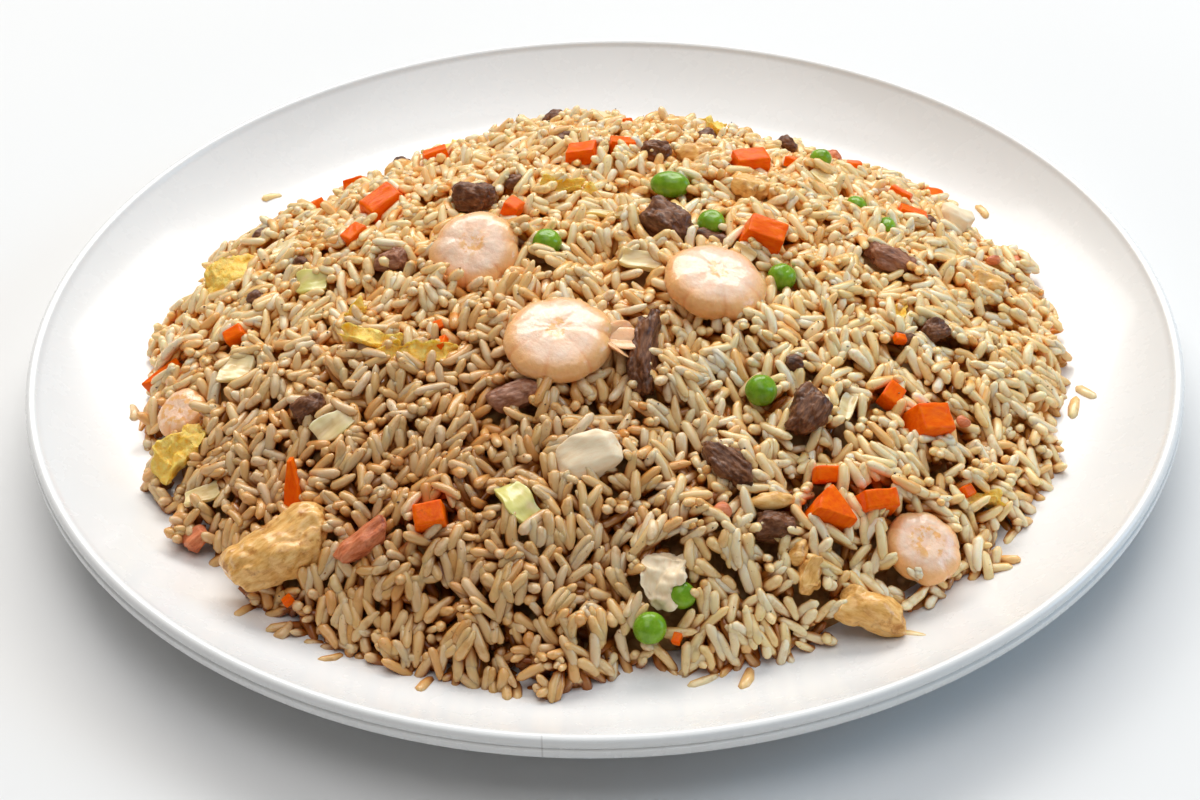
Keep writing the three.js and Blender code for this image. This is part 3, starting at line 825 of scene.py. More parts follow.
CORE_LAYERS = [(ripple, 0.4, 3, 0, 1)]

# Thin kinds: how much they narrow towards their ends, how far they cup, and their folds, each
# with its spacing, its reach (mm) and how far it moves the seed on.
SHEETS = {
    "egg": (0.3, 1.2 * MM, [(6, 2.6, 0), (2.4, 1.2, 5)]),
    "cabbage": (0.2, 0.7 * MM, [(6, 1.6, 0)]),
}
CUT_SQUARE = {"carrot"}
SHEET_THICKNESS = 1.5 * MM
CUP_MIDDLE = 0.3

# A pea's dimple: which way it lies from the pea's middle, how many millimetres out, its depth and
# width, and how far the pea swells to make up for the smoothing.
DIMPLE = SimpleNamespace(toward=(0.3, -0.2, 1), reach=3.4, depth=0.5 * MM, width=1.3 * MM,
                         swell=0.28 * MM)


def leaf_shape(body, narrowing, cupping):
    """Narrows a sheet towards both ends and cups it along its length."""
    half = max(abs(vertex.co.x) for vertex in body.verts)
    width = max(abs(vertex.co.y) for vertex in body.verts)
    for vertex in body.verts:
        share = min(1, abs(vertex.co.x) / half)
        vertex.co.z += cupping * ((vertex.co.y / width) ** 2 - CUP_MIDDLE)
        vertex.co.y *= 1 - narrowing * share**2


def pea_swell(place):
    """How far a pea's surface stands out: swollen all round, with one dimple."""
    dimple = Vector(DIMPLE.toward).normalized() * DIMPLE.reach * MM
    hollow = -DIMPLE.depth * math.exp(-((place - dimple).length / DIMPLE.width) ** 2)
    return hollow + DIMPLE.swell


def finish(body, kind, seed, small=False):
    """Turns a rough body into a piece of its kind."""
    splits, smoothing, layers = SURFACES[kind]
    refine(body, splits[small], smoothing[small])
    if kind in SHEETS:
        narrowing, cupping, folds = SHEETS[kind]
        leaf_shape(body, narrowing, cupping)
        for size, reach, moved_on in folds:
            fold(body, size * MM, reach * MM, seed + moved_on)
    roughen(body, layers, seed, pea_swell if kind == "pea" else no_swell)


# ---- Prawns ----

PRAWN = SimpleNamespace(
    rings=36,
    sides=84,
    weld=0.02 * MM,
    inner_and_outer=(4, 96),
    segments=7,
    segment_bulge=0.025,
    segment_rise=0.07,
    groove_width=0.05,
    groove_depth=0.02,
    tail_thinning=0.07,
    seam_width=0.03,
    seam_depth=0.09,
    side_gain=1.9,
    side_start=0.9,
    side_roundness=0.72,
    top_roundness=0.92,
    upright=0.98,
    hub_dip=0.12,
    hub_radius=2.2 * MM,
)
TAIL_FAN = SimpleNamespace(
    node="prawn_02",
    root=0.55,
    overlap=0.8,
    lobes=(-48, -18, 14, 42),
    length=9 * MM,
    width=2.8 * MM,
    thickness=0.5 * MM,
    rings=14,
    sides=14,
)


def circle_through(points):
    """Middle and radius of the circle that fits points in a plane."""
    system = np.column_stack([2 * points, np.ones(len(points))])
    x, y, rest = np.linalg.lstsq(system, (points**2).sum(1), rcond=None)[0]
    return np.array([x, y]), math.sqrt(rest + x * x + y * y)


def widest_gap(angles):
    """The middle of the widest gap between directions round a circle."""
    around = np.sort(angles)
    gaps = np.diff(np.append(around, around[0] + math.tau))
    return around[gaps.argmax()] + gaps.max() / 2


def prawn_curl(node):
    """How a CAD prawn lies: its frame, its reach from the hub, its body and where it opens."""
    points = node_points(node)
    middle = points.mean(0)
    _, _, axes = np.linalg.svd(points - middle)
    normal = axes[2] if axes[2][2] > 0 else -axes[2]
    axes = np.array([axes[0], np.cross(normal, axes[0]), normal])
    flat = (points - middle) @ axes[:2].T
    hub, _ = circle_through(flat)
    from_hub = np.linalg.norm(flat - hub, axis=1)
    inner, outer = np.percentile(from_hub, PRAWN.inner_and_outer)
    opening = widest_gap(np.arctan2(flat[:, 1] - hub[1], flat[:, 0] - hub[0]))
    turn = Matrix([Vector(axis) for axis in axes]).transposed()
    place = Vector(middle) + turn @ Vector((*hub, 0))
    return SimpleNamespace(matrix=Matrix.Translation(place) @ turn.to_4x4(), opening=opening,
                           reach=(inner + outer) / 2, body=(outer - inner) / 2)


def prawn_points(curl):
    """Points of a closed curl, and marks on them for its material.

    The curl is a plump disc of segments, grooved round its side, with a dip at its hub.
    """
    around = np.linspace(0, math.tau, PRAWN.sides, endpoint=False)[None, :]
    down = np.linspace(0, math.pi, PRAWN.rings)[:, None]
    along = ((around - curl.opening) / math.tau) % 1
    from_end = np.minimum(along, 1 - along)
    part = (along * PRAWN.segments) % 1
    near_groove = np.minimum(part, 1 - part)
    outward = np.sin(down) ** PRAWN.side_roundness
    on_side = np.clip(PRAWN.side_gain * outward - PRAWN.side_start, 0, 1)
    groove = np.exp(-((near_groove / PRAWN.groove_width) ** 2)) * on_side
    seam = np.exp(-((from_end / PRAWN.seam_width) ** 2))
    thinning = PRAWN.tail_thinning * along * (1 - seam) + PRAWN.seam_depth * seam
    bulge = PRAWN.segment_bulge * np.sin(part * math.pi) - PRAWN.groove_depth * groove
    radius = (curl.reach + curl.body) * outward * (1 - thinning * on_side + bulge * on_side)
    level = np.sign(np.cos(down)) * np.abs(np.cos(down)) ** PRAWN.top_roundness
    dip = PRAWN.hub_dip * np.exp(-((radius / PRAWN.hub_radius) ** 2))
    rise = PRAWN.segment_rise * (np.abs(np.sin(part * math.pi)) - 1) * outward
    height = curl.body * PRAWN.upright * level * (1 - dip + rise)
    points = np.stack([radius * np.cos(around), radius * np.sin(around), height], -1)
    marks = {"outward": outward * np.ones_like(around), "groove": groove,
             "tail": np.zeros_like(groove)}
    return points.reshape(-1, 3), {name: values.ravel() for name, values in marks.items()}


def fan_points(curl):
    """The tail's lobes: flat blades that stick out where the curl closes."""
    root_reach = curl.reach + TAIL_FAN.root * curl.body
    root = root_reach * np.array([math.cos(curl.opening), math.sin(curl.opening), 0])
    along = np.sin(np.linspace(-math.pi / 2, math.pi / 2, TAIL_FAN.rings))[:, None]
    around = np.linspace(0, math.tau, TAIL_FAN.sides, endpoint=False)[None, :]
    width = np.sqrt(np.maximum(0, 1 - along**2)) * TAIL_FAN.width
    lobe = np.stack([
        (along + TAIL_FAN.overlap) * TAIL_FAN.length / 2 * np.ones_like(around),
        width * np.cos(around),
        width * np.sin(around) * TAIL_FAN.thickness / TAIL_FAN.width,
    ], -1).reshape(-1, 3)
    lobes = []
    for degrees in TAIL_FAN.lobes:
        heading = curl.opening + math.radians(degrees)
        turn = Matrix.Rotation(heading, 3, "Z") @ Matrix.Rotation(math.radians(degrees), 3, "X")
        lobes.append(lobe @ np.array(turn).T + root)
    return lobes


def make_prawn(node, material):
    curl = prawn_curl(node)
    points, marks = prawn_points(curl)
    faces = [tube_faces(PRAWN.rings, PRAWN.sides)]
    if node == TAIL_FAN.node:
        for lobe in fan_points(curl):
            faces.append(tube_faces(TAIL_FAN.rings, TAIL_FAN.sides, len(points)))
            points = np.vstack([points, lobe])
            marks = {name: np.append(values, np.full(len(lobe), float(name == "tail")))
                     for name, values in marks.items()}
    mesh = mesh_from_arrays(node, points, np.vstack(faces))
    for name, values in marks.items():
        mesh.attributes.new(name, "FLOAT", "POINT").data.foreach_set("value", values)
    body = bmesh.new()
    body.from_mesh(mesh)
    bmesh.ops.remove_doubles(body, verts=body.verts, dist=PRAWN.weld)
    bmesh.ops.recalc_face_normals(body, faces=body.faces)
    roughen(body, PRAWN_LAYERS, seed=int(node[-2:]))
    body.to_mesh(mesh)
    body.free()
    return add_object(f"{node}_flesh", mesh, material, curl.matrix)


# ---- The pieces that replace CAD nodes ----


# Pieces that look unlike the rest of their kind.
VARIANTS = {
    "chicken_02": "chicken_pale",
    "chicken_04": "chicken_pale",
    "beef_02": "beef_light",
    "beef_09": "beef_light",
    "beef_12": "beef_light",
    "egg_04": "chicken_pale",
    "cabbage_01": "cabbage_green",
    "cabbage_04": "cabbage_green",
}
SMOOTH_CUT = {"chicken_02", "chicken_04"}
NARROW_TOPS = {"carrot_12": 0.8}


def narrow_top(body, matrix, share):
    """Narrows a piece towards the end that points up."""
    upward = math.copysign(1, matrix.col[0].z)
    half = max(abs(vertex.co.x) for vertex in body.verts)
    for vertex in body.verts:
        rise = (1 + upward * vertex.co.x / half) / 2
        vertex.co.y *= 1 - share * rise
        vertex.co.z *= 1 - share * rise / 2


def make_piece(node, materials):
    kind = node.split("_")[0]
    look = VARIANTS.get(node, kind)
    if kind == "prawn":
        piece = make_prawn(node, materials[kind])
    else:
        body, matrix = node_body(node)
        narrow_top(body, matrix, NARROW_TOPS.get(node, 0))
        finish(body, "smooth_cut" if node in SMOOTH_CUT else kind, seed=int(node[-2:]))
        piece = add_object(f"{node}_piece", to_mesh(body, node), materials[look], matrix)
    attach(piece, BODY)
    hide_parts(node)
    return piece


# ---- Further small pieces ----


def raw_piece(kind, length, width, height):
    """A rough body of the kind's usual form, before its finish."""
    body = bmesh.new()
    if kind in SHEETS or kind in CUT_SQUARE:
        bmesh.ops.create_cube(body, size=1)
    else:
        bmesh.ops.create_icosphere(body, subdivisions=2, radius=0.5)
    if kind in SHEETS:
        bmesh.ops.subdivide_edges(body, edges=body.edges, cuts=2, use_grid_fill=True)
    for vertex in body.verts:
        vertex.co = Vector((vertex.co.x * length, vertex.co.y * width, vertex.co.z * height))
    return body


def lying_matrix(x, y, rise, turn, tip):
    """Puts a piece on the heap's surface, leaning as the surface does."""
    normal = heap_normal(x, y)
    lean = Vector((0, 0, 1)).rotation_difference(normal).to_matrix().to_4x4()
    spin = Matrix.Rotation(math.radians(turn), 4, "Z") @ Matrix.Rotation(tip, 4, "X")
    place = Vector((x, y, float(heap_top(x, y)) + rise))
    return Matrix.Translation(place) @ lean @ spin


def small_body(kind, x, y, size, turn, seed):
    body = raw_piece(kind, *size)
    finish(body, kind, seed, small=True)
    tip = rng.uniform(-SMALL.tip, SMALL.tip)
    body.transform(lying_matrix(x, y, SMALL.rise * size[2], turn, tip))
    return body


def listed_small_pieces():
    for kind, pieces in SMALL_PIECES.items():
        for x, y, length, width, height, turn in pieces:
            yield kind, x * MM, y * MM, (length * MM, width * MM, height * MM), turn


def node_places():
    places = []
    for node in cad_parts:
        if node not in ("plate", "rice_heap"):
            places.append(node_points(node).mean(0)[:2])
    return places


def far_side_pieces(taken):
    """Small pieces on the far slope, clear of each other and of the pieces already placed."""
    for kind, count, (shortest, longest) in FAR_SIDE_PIECES:
        placed = 0
        while placed < count:
            angle = math.radians(rng.uniform(*FAR_SIDE.angle))
            reach = float(heap_radius(np.array(angle))) * rng.uniform(*FAR_SIDE.share)
            place = np.array([math.cos(angle), math.sin(angle)]) * reach
            length = rng.uniform(shortest, longest) * MM
            if min(np.hypot(*(place - other)) for other in taken) < FAR_SIDE.clearance:
                continue
            taken.append(place)
            placed += 1
            width = length * rng.uniform(*FAR_SIDE.width)
            thick = SHEET_THICKNESS if kind in SHEETS else width * rng.uniform(*FAR_SIDE.height)
            yield kind, *place, (length, width, thick), rng.uniform(0, 360)


def make_small_pieces(materials):
    """All further small pieces, joined into one object for each kind."""
    listed = list(listed_small_pieces())
    taken = node_places() + [np.array([x, y]) for _, x, y, _, _ in listed]
    joined = {}
    for seed, (kind, x, y, size, turn) in enumerate([*listed, *far_side_pieces(taken)]):
        body = small_body(kind, x, y, size, turn, seed + SMALL.first_seed)
        whole = joined.setdefault(kind, bmesh.new())
        part = to_mesh(body, "part")
        whole.from_mesh(part)
        bpy.data.meshes.remove(part)
    pieces = []
    for kind, whole in joined.items():
        piece = add_object(f"small_{kind}_pieces", to_mesh(whole, kind), materials[kind])
        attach(piece, BODY)
        pieces.append(piece)
    return pieces


# ---- The ground that grains settle on ----


# Pouring stops when so few places lack rice, and looks for such places again after each batch.
FEW_PLACES = 300
BATCH = 300


class Ground:
    """Height of whatever lies on the plate, and which places a larger piece covers."""

    STEP = 0.5 * MM
    HALF = 150 * MM

    def __init__(self):
        """The ground before any rice: core and plate, and a lie that bundles of grains share."""
        steps = int(2 * self.HALF / self.STEP)
        line = (np.arange(steps) + 0.5) * self.STEP - self.HALF
        self.x, self.y = np.meshgrid(line, line, indexing="ij")
        self.height = np.maximum(core_top(self.x, self.y), plate_top(np.hypot(self.x, self.y)))
        self.covered = np.zeros_like(self.height, bool)
        self.lid = np.full_like(self.height, math.inf)
        self.lie = math.pi * soft_noise(self.x, self.y, GRAIN.bundle_spacing)

    def cells(self, x, y):
        """Column and row of the cells in which places lie."""
        last = len(self.height) - 1
        return tuple(np.clip(((np.asarray(place) + self.HALF) / self.STEP).astype(int), 0, last)
                     for place in (x, y))

    def stamp(self, piece):
        """Raises the ground to a piece's upper surface, seen from straight above."""
        matrix = np.array(piece.matrix_world)
        points = np.array([vertex.co for vertex in piece.data.vertices])
        points = points @ matrix[:3, :3].T + matrix[:3, 3]
        polygons = [tuple(polygon.vertices) for polygon in piece.data.polygons]
        tree = BVHTree.FromPolygons(points.tolist(), polygons)
        low, high = self.cells(*points.min(0)[:2]), self.cells(*points.max(0)[:2])
        for column in range(int(low[0]), int(high[0]) + 1):
            for row in range(int(low[1]), int(high[1]) + 1):
                x = (column + 0.5) * self.STEP - self.HALF
                y = (row + 0.5) * self.STEP - self.HALF
                top = tree.ray_cast(Vector((x, y, 1)), Vector((0, 0, -1)))[0]
                if top is None or top.z < self.height[column, row]:
                    continue
                bottom = tree.ray_cast(Vector((x, y, -1)), Vector((0, 0, 1)))[0]
                surface = float(heap_top(x, y))
                if bottom.z > surface - OVERHANG.below and top.z > surface + OVERHANG.above:
                    self.lid[column, row] = top.z - OVERHANG.lid
                else:
                    self.height[column, row] = top.z
                    self.covered[column, row] = True


# Where a grain is felt for, in shares of its length and of its thickness, and the slopes tried.
SMALL_STEPS = np.linspace(-0.5, 0.5, 9)[:, None]
SMALL_SIDES = np.linspace(-0.8, 0.8, 3)[None, :]
FINE_STEPS = np.linspace(-0.5, 0.5, 27)[:, None]
FINE_SIDES = np.linspace(-0.95, 0.95, 9)[None, :]
LYING_SLOPES = np.linspace(-1, 1, 13)


def soft_noise(x, y, spacing):
    """Smooth random values from -1 to 1 that change over a spacing."""
    count = int(2 * Ground.HALF / spacing) + 3
    values = rng.uniform(-1, 1, (count, count))
    across, along = (x + Ground.HALF) / spacing, (y + Ground.HALF) / spacing
    column, row = across.astype(int), along.astype(int)
    right, up = across - column, along - row
    right, up = right * right * (3 - 2 * right), up * up * (3 - 2 * up)
    near = values[column, row] * (1 - right) + values[column + 1, row] * right
    far = values[column, row + 1] * (1 - right) + values[column + 1, row + 1] * right
    return near * (1 - up) + far * up


def spread_out(values, reach):
    """Each cell's mean over a square of cells around it."""
    cells = int(reach / Ground.STEP)
    kernel = np.ones(2 * cells + 1) / (2 * cells + 1)
    for axis in (0, 1):
        values = np.apply_along_axis(np.convolve, axis, values, kernel, mode="same")
    return values


def rice_target(ground):
    """How high the rice should reach in each cell: the heap, with lumps and a ragged edge."""
    x, y = ground.x, ground.y
    stretch = 1 + HEAP.ragged * soft_noise(x, y, HEAP.ragged_spacing)
    lumps = sum(height * soft_noise(x, y, spacing) for height, spacing in RICE_LUMPS)
    near_piece = spread_out(ground.covered.astype(float), BANK.reach)
    bank = BANK.rise * np.minimum(1, BANK.gain * near_piece)
    inside = heap_share(x * stretch, y * stretch) < 1
    level = np.where(inside, heap_top(x * stretch, y * stretch) + lumps + bank, 0)
    return np.minimum(level, ground.lid)


def thickness(along, radius):
    """Half the grain's thickness at a share of its length from its middle."""
    section = 1 - np.abs(2 * along) ** GRAIN.bluntness
    return radius * np.sqrt(np.maximum(GRAIN.least_section, section))


def resting_pose(ground, x, y, length, radius, slopes):
    """The turn and slope at which a stiff grain lies lowest, and what it then lies on."""
    lie = ground.lie[ground.cells(x, y)]
    in_bundle = rng.normal(lie, GRAIN.bundle_spread, GRAIN.turns_tried)
    turns = np.append(in_bundle, rng.uniform(0, math.pi, GRAIN.free_turns_tried))
    turns = turns[:, None, None, None]
    tilts = slopes[None, :, None, None]
    reach = SMALL_STEPS * length / np.sqrt(1 + tilts**2)
    side = SMALL_SIDES * radius
    column, row = ground.cells(x + reach * np.cos(turns) - side * np.sin(turns),
                               y + reach * np.sin(turns) + side * np.cos(turns))
    lift = np.sqrt(np.maximum(thickness(SMALL_STEPS, radius) ** 2 - side**2, 0))
    heights = (ground.height[column, row] + lift - tilts * reach).max(axis=(2, 3))
    over_piece = ground.covered[column, row].mean(axis=(2, 3))
    score = heights + over_piece * GRAIN.piece_penalty
    turn, slope = np.unravel_index(score.argmin(), score.shape)
    return turns[turn, 0, 0, 0], slopes[slope], heights[turn, slope], over_piece[turn, slope]


def footprint(ground, grain):
    """The cells that a grain covers and the height of its upper side in each."""
    x, y, z, turn, pitch, length, radius = grain
    reach = FINE_STEPS * length * math.cos(pitch)
    side = FINE_SIDES * radius
    cells = ground.cells(x + reach * math.cos(turn) - side * math.sin(turn),
                         y + reach * math.sin(turn) + side * math.cos(turn))
    half = thickness(FINE_STEPS, radius)
    top = z + math.tan(pitch) * reach + np.sqrt(np.maximum(half**2 - side**2, 0))
    return cells, np.where(np.abs(side) < half, top, 0)


def drop_grain(ground, x, y, ceiling):
    """One grain at rest, or None where it would lie too high or hide a larger piece."""
    whole_length = rng.uniform(*GRAIN.length)
    if rng.random() < GRAIN.broken_share:
        whole_length *= rng.uniform(*GRAIN.broken_length)
    radius = rng.uniform(*GRAIN.radius)
    upright = rng.random() < GRAIN.upright_share
    steep = rng.choice([-1, 1], 3) * rng.uniform(*GRAIN.upright_slopes, 3)
    slopes = steep if upright else LYING_SLOPES
    for share in GRAIN.shorter_tries:
        length = whole_length * share
        turn, slope, height, over_piece = resting_pose(ground, x, y, length, radius, slopes)
        pitch = math.atan(slope)
        sink = GRAIN.upright_sink * length * abs(math.sin(pitch)) if upright else GRAIN.sink
        too_high = height - sink > ceiling
        on_piece = over_piece > GRAIN.on_piece_most and rng.random() > GRAIN.on_piece_chance
        if not too_high and not on_piece:
            grain = (x, y, height - sink, turn, pitch, length, radius)
            cells, top = footprint(ground, grain)
            np.maximum.at(ground.height, cells, top)
            return grain
    return None


def pour_rice(ground):
    """Grains that fill the heap up to its surface, and a few beside it on the plate."""
    target = rice_target(ground)
    given_up = np.zeros_like(ground.covered)
    grains = [drop_grain(ground, x * MM, y * MM, PLATE.height) for x, y in STRAY_GRAINS]
    while len(grains) < GRAIN.most:
        lacking = (target - ground.height > GRAIN.fill_gap) & ~ground.covered & ~given_up
        places = np.argwhere(lacking)
        if len(places) < FEW_PLACES:
            break
        for column, row in rng.permutation(places)[:BATCH]:
            if target[column, row] - ground.height[column, row] < GRAIN.fill_gap:
                continue
            x, y = ground.x[column, row], ground.y[column, row]
            grain = drop_grain(ground, x, y, target[column, row] - GRAIN.below_target)
            given_up[column, row] = grain is None
            grains.append(grain)
    return np.array([grain for grain in grains if grain])


def showing(ground, grains):
    """The grains that are not buried under others."""
    kept = []
    for grain in grains:
        cells, top = footprint(ground, grain)
        buried = np.where(top > 0, ground.height[cells] - top, 1).min()
        if buried < GRAIN.hidden_depth:
            kept.append(grain)
    return np.array(kept)


# ---- Grain meshes ----


def grain_frames(turn, pitch):
    """For each grain, its long axis and two axes across it."""
    axis = np.stack([np.cos(turn) * np.cos(pitch), np.sin(turn) * np.cos(pitch),
                     np.sin(pitch)], -1)
    side = np.stack([-np.sin(turn), np.cos(turn), np.zeros_like(turn)], -1)
    return axis, side, np.cross(axis, side)


def grain_points(grains):
    """Points of every grain: a bent, slightly flat spindle with one blunter end."""
    x, y, z, turn, pitch, length, radius = (grains[:, column] for column in range(7))
    count = len(grains)
    axis, side, up = grain_frames(turn, pitch)
    along = np.array(GRAIN.stations)
    profile = np.sqrt(np.maximum(0, 1 - np.abs(along) ** GRAIN.bluntness))
    blunt = 1 - rng.uniform(*GRAIN.end_difference, (count, 1)) * along
    half = radius[:, None] * profile * blunt
    flat = rng.uniform(*GRAIN.flatness, (count, 1, 1))
    bend = rng.uniform(-1, 1, (count, 1)) * GRAIN.bend
    lift = rng.uniform(-GRAIN.lift_share, GRAIN.lift_share, (count, 1)) * GRAIN.bend
    around = np.linspace(0, math.tau, GRAIN.sides, endpoint=False)
    uneven = 1 + GRAIN.unevenness * rng.uniform(-1, 1, (count, len(along), GRAIN.sides))
    half = half[:, :, None] * uneven
    bow = along**2 - GRAIN.bend_middle
    sideways = half * np.cos(around) + (bend * bow)[:, :, None]
    upward = half * np.sin(around) * flat + (lift * bow)[:, :, None]
    lengthways = (length[:, None] / 2 * along)[:, :, None] * np.ones_like(around)
    offsets = (lengthways[..., None] * axis[:, None, None, :]
               + sideways[..., None] * side[:, None, None, :]
               + upward[..., None] * up[:, None, None, :])
    return offsets + np.stack([x, y, z], -1)[:, None, None, :]


def grain_mesh(name, grains, level):
    """One joined mesh of grains. Each grain's end rings have shrunk to a single point."""
    points = grain_points(grains)
    count, rings, sides = points.shape[:3]
    inner = points[:, 1:-1].reshape(count, -1, 3)
    tips = points[:, [0, -1], 0]
    points = np.concatenate([inner, tips], axis=1)
    size = points.shape[1]
    starts = (np.arange(count) * size)[:, None, None]
    quads = (tube_faces(rings - 2, sides)[None] + starts).reshape(-1, 4)
    side = np.arange(sides)
    after = (side + 1) % sides
    last_ring = (rings - 3) * sides
    head = np.stack([after, side, np.full(sides, size - 2)], -1)
    tail = np.stack([last_ring + side, last_ring + after, np.full(sides, size - 1)], -1)
    caps = (np.vstack([head, tail])[None] + starts).reshape(-1, 3)
    mesh = bpy.data.meshes.new(name)
    points = points.reshape(-1, 3)
    mesh.from_pydata(points.tolist(), [], quads.tolist() + caps.tolist())
    # Depth under the rice's smoothed top, by which the grain material darkens the grains as soy
    # and painted shade.
    depth = level(points[:, 0], points[:, 1]) - points[:, 2]
    mesh.attributes.new("depth", "FLOAT", "POINT").data.foreach_set("value", depth / MM)
    return mesh


def make_rice(ground, grains, materials):
    """The grains, split into one object for each kind."""
    smooth = spread_out(ground.height, GRAIN.level_spread)

    def level(x, y):
        return smooth[ground.cells(x, y)]

    kinds = rng.choice(list(GRAIN_KINDS), len(grains), p=list(GRAIN_KINDS.values()))
    for name in GRAIN_KINDS:
        mesh = grain_mesh(name, grains[kinds == name], level)
        piece = add_object(name, mesh, materials[name])
        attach(piece, BODY)


def make_core(material):
    """The rice under the loose grains: a lumpy dome just below them."""
    shares = np.linspace(*CORE.share_from_to, CORE.rings)[:, None] * HEAP.core_share
    angle = np.linspace(0, math.tau, CORE.sectors, endpoint=False)[None, :]
    reach = heap_radius(angle) * shares
    x, y = reach * np.cos(angle), reach * np.sin(angle)
    floor = PLATE.floor_top + CORE.over_floor
    z = np.maximum(core_top(x, y), floor)
    points = np.stack([x, y, z], -1).reshape(-1, 3)
    bottom = np.stack([x[-1], y[-1], np.full(CORE.sectors, floor - CORE.thickness)], -1)
    faces = tube_faces(CORE.rings + 1, CORE.sectors)
    mesh = closed_mesh("core", np.vstack([points, bottom]), faces, CORE_LAYERS, CORE.seed)
    return add_object("rice_core", mesh, material)


# ---- Specks ----


def speck_mesh(name, ground, count):
    """Tiny flakes of spice and crumb on the rice, each an uneven double pyramid."""
    angle = rng.uniform(0, math.tau, count)
    reach = heap_radius(angle) * np.sqrt(rng.uniform(0, 1, count)) * SPECKS.reach
    x, y = reach * np.cos(angle), reach * np.sin(angle)
    bare = ~ground.covered[ground.cells(x, y)]
    x, y, count = x[bare], y[bare], int(bare.sum())
    middles = np.stack([x, y, ground.height[ground.cells(x, y)]], -1)
    sizes = rng.uniform(*SPECKS.size, (count, 1, 1))
    sizes = sizes * rng.uniform(*SPECKS.corner, (count, 6, 1))
    corners = np.array([(1, 0, 0), (0, 1, 0), (-1, 0, 0), (0, -1, 0), (0, 0, 1), (0, 0, -1)])
    spread = corners * np.array(SPECKS.proportions)
    turn = rng.uniform(0, math.tau, count)
    spin = np.stack([np.cos(turn), -np.sin(turn), np.sin(turn), np.cos(turn)], -1)
    flat = np.einsum("nij,kj->nki", spin.reshape(-1, 2, 2), spread[:, :2])
    upward = np.broadcast_to(spread[:, 2], (count, 6))
    shape = np.concatenate([flat, upward[:, :, None]], -1)
    points = middles[:, None, :] + shape * sizes
    upper = [(corner, (corner + 1) % 4, 4) for corner in range(4)]
    lower = [((corner + 1) % 4, corner, 5) for corner in range(4)]
    firsts = (np.arange(count) * len(corners))[:, None, None]
    faces = (np.array(upper + lower)[None] + firsts).reshape(-1, 3)
    return mesh_from_arrays(name, points.reshape(-1, 3), faces)


def make_specks(ground, materials):
    for tone in ("dark", "amber", "green"):
        name = f"speck_{tone}"
        mesh = speck_mesh(name, ground, getattr(SPECKS, tone))
        piece = add_object(name, mesh, materials[name])
        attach(piece, BODY)


# ---- The plate ----


def plate_profile():
    """Half of the plate's section, from the middle of its underside round to its floor."""
    roll = arc((PLATE.radius - PLATE.roll_radius, PLATE.height - PLATE.roll_below_top),
               PLATE.roll_radius, PLATE.roll_arc, PLATE.steps_arc)
    bead = bead_points()
    wall_radius = np.linspace(bead[-1][0], PLATE.floor_radius, PLATE.steps_wall + 1)[1:]
    wall = np.stack([wall_radius, plate_top(wall_radius)], -1)
    underneath = np.array([
        (PLATE.hub, PLATE.underside),
        (PLATE.foot_inner - PLATE.foot_slope, PLATE.underside),
        (PLATE.foot_inner, 0),
        (PLATE.foot_outer, 0),
        (PLATE.foot_outer + PLATE.foot_slope, PLATE.underside),
        (PLATE.underside_radius, PLATE.underside + MM),
        PLATE.outer_wall,
    ])
    floor = np.array([(PLATE.inner_floor * PLATE.floor_radius, PLATE.floor_top),
                      (PLATE.hub, PLATE.floor_top)])
    return np.vstack([underneath, roll, bead, wall, floor])


def make_plate(material):
    profile = plate_profile()
    angle = np.linspace(0, math.tau, PLATE.steps_round, endpoint=False)
    x = profile[:, :1] * np.cos(angle)
    y = profile[:, :1] * np.sin(angle)
    z = profile[:, 1:] * np.ones_like(angle)
    points = np.stack([x, y, z], -1).reshape(-1, 3)
    faces = tube_faces(len(profile), PLATE.steps_round)
    mesh = closed_mesh("plate", points, faces)
    piece = add_object("glazed_plate", mesh, material)
    mesh.set_sharp_from_angle(angle=math.radians(PLATE.sharp_from))
    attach(piece, BODY)
    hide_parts("plate")


# ---- Stage, light and camera ----


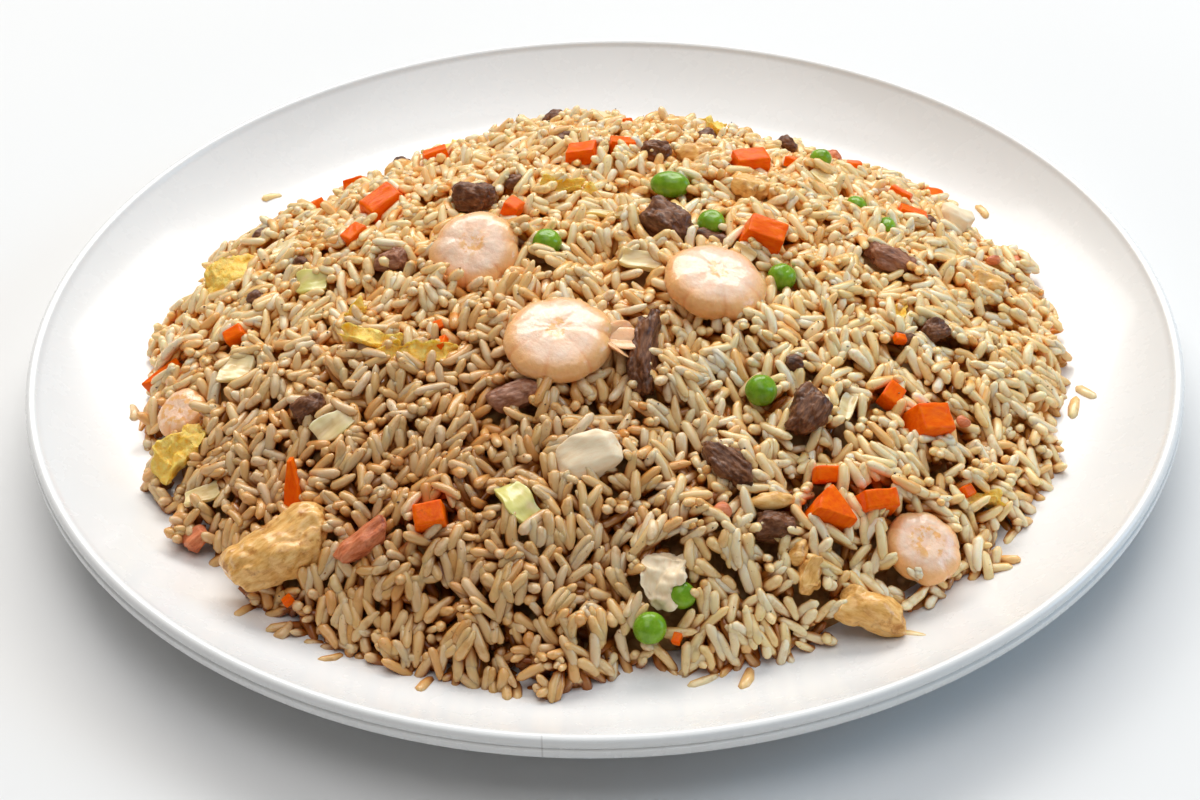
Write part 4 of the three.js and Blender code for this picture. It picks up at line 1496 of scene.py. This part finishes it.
def make_floor(material):
    corners = np.array([(-1, -1, 0), (1, -1, 0), (1, 1, 0), (-1, 1, 0)]) * TABLE_HALF
    mesh = mesh_from_arrays("floor", corners, np.array([[0, 1, 2, 3]]))
    floor = add_object("floor", mesh, material)
    floor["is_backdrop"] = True


def add_area_light(name, place, size, power, colour):
    data = bpy.data.lights.new(name, "AREA")
    data.shape = "RECTANGLE"
    data.size, data.size_y = size
    data.energy = power
    data.color = colour
    light = bpy.data.objects.new(name, data)
    light.location = place
    light.rotation_euler = (-Vector(place)).to_track_quat("-Z", "Y").to_euler()
    bpy.context.scene.collection.objects.link(light)


def make_light():
    for light in LIGHTS:
        add_area_light(*light)
    world = bpy.data.worlds.new("studio")
    world.use_nodes = True
    background = world.node_tree.nodes["Background"]
    background.inputs["Color"].default_value = opaque(AMBIENT.colour)
    background.inputs["Strength"].default_value = AMBIENT.strength
    bpy.context.scene.world = world


def make_camera():
    """The camera stands in front of the plate and looks down at it, a little turned and rolled."""
    data = bpy.data.cameras.new("camera")
    data.lens = CAMERA.lens
    data.sensor_width = CAMERA.sensor
    elevation = math.radians(CAMERA.elevation)
    turn = (
        Matrix.Rotation(math.pi / 2 - elevation, 3, "X")
        @ Matrix.Rotation(-math.radians(CAMERA.yaw), 3, "Y")
        @ Matrix.Rotation(-math.radians(CAMERA.pitch), 3, "X")
        @ Matrix.Rotation(-math.radians(CAMERA.roll), 3, "Z")
    )
    back = Vector((0, -math.cos(elevation), math.sin(elevation)))
    place = Vector((0, 0, PLATE.height)) + back * CAMERA.distance
    camera = bpy.data.objects.new("camera", data)
    camera.matrix_world = Matrix.Translation(place) @ turn.to_4x4()
    bpy.context.scene.collection.objects.link(camera)
    bpy.context.scene.camera = camera


# ---- The dish ----


def make_dish(materials):
    make_plate(materials["glaze"])
    nodes = [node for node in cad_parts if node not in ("plate", "rice_heap")]
    pieces = [make_piece(node, materials) for node in nodes]
    pieces += make_small_pieces(materials)
    bpy.context.view_layer.update()
    ground = Ground()
    for piece in pieces:
        ground.stamp(piece)
    grains = showing(ground, pour_rice(ground))
    make_rice(ground, grains, materials)
    core = make_core(materials["core"])
    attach(core, BODY)
    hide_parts("rice_heap")
    make_specks(ground, materials)


def write_sizes():
    boxes = {"cad": cad_box, "visual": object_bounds()}
    plain = {name: [list(corner) for corner in box] for name, box in boxes.items()}


bpy.context.scene.view_settings.view_transform = "Standard"
materials = make_materials()
make_camera()
make_light()
make_floor(materials["floor"])
make_dish(materials)
write_sizes()
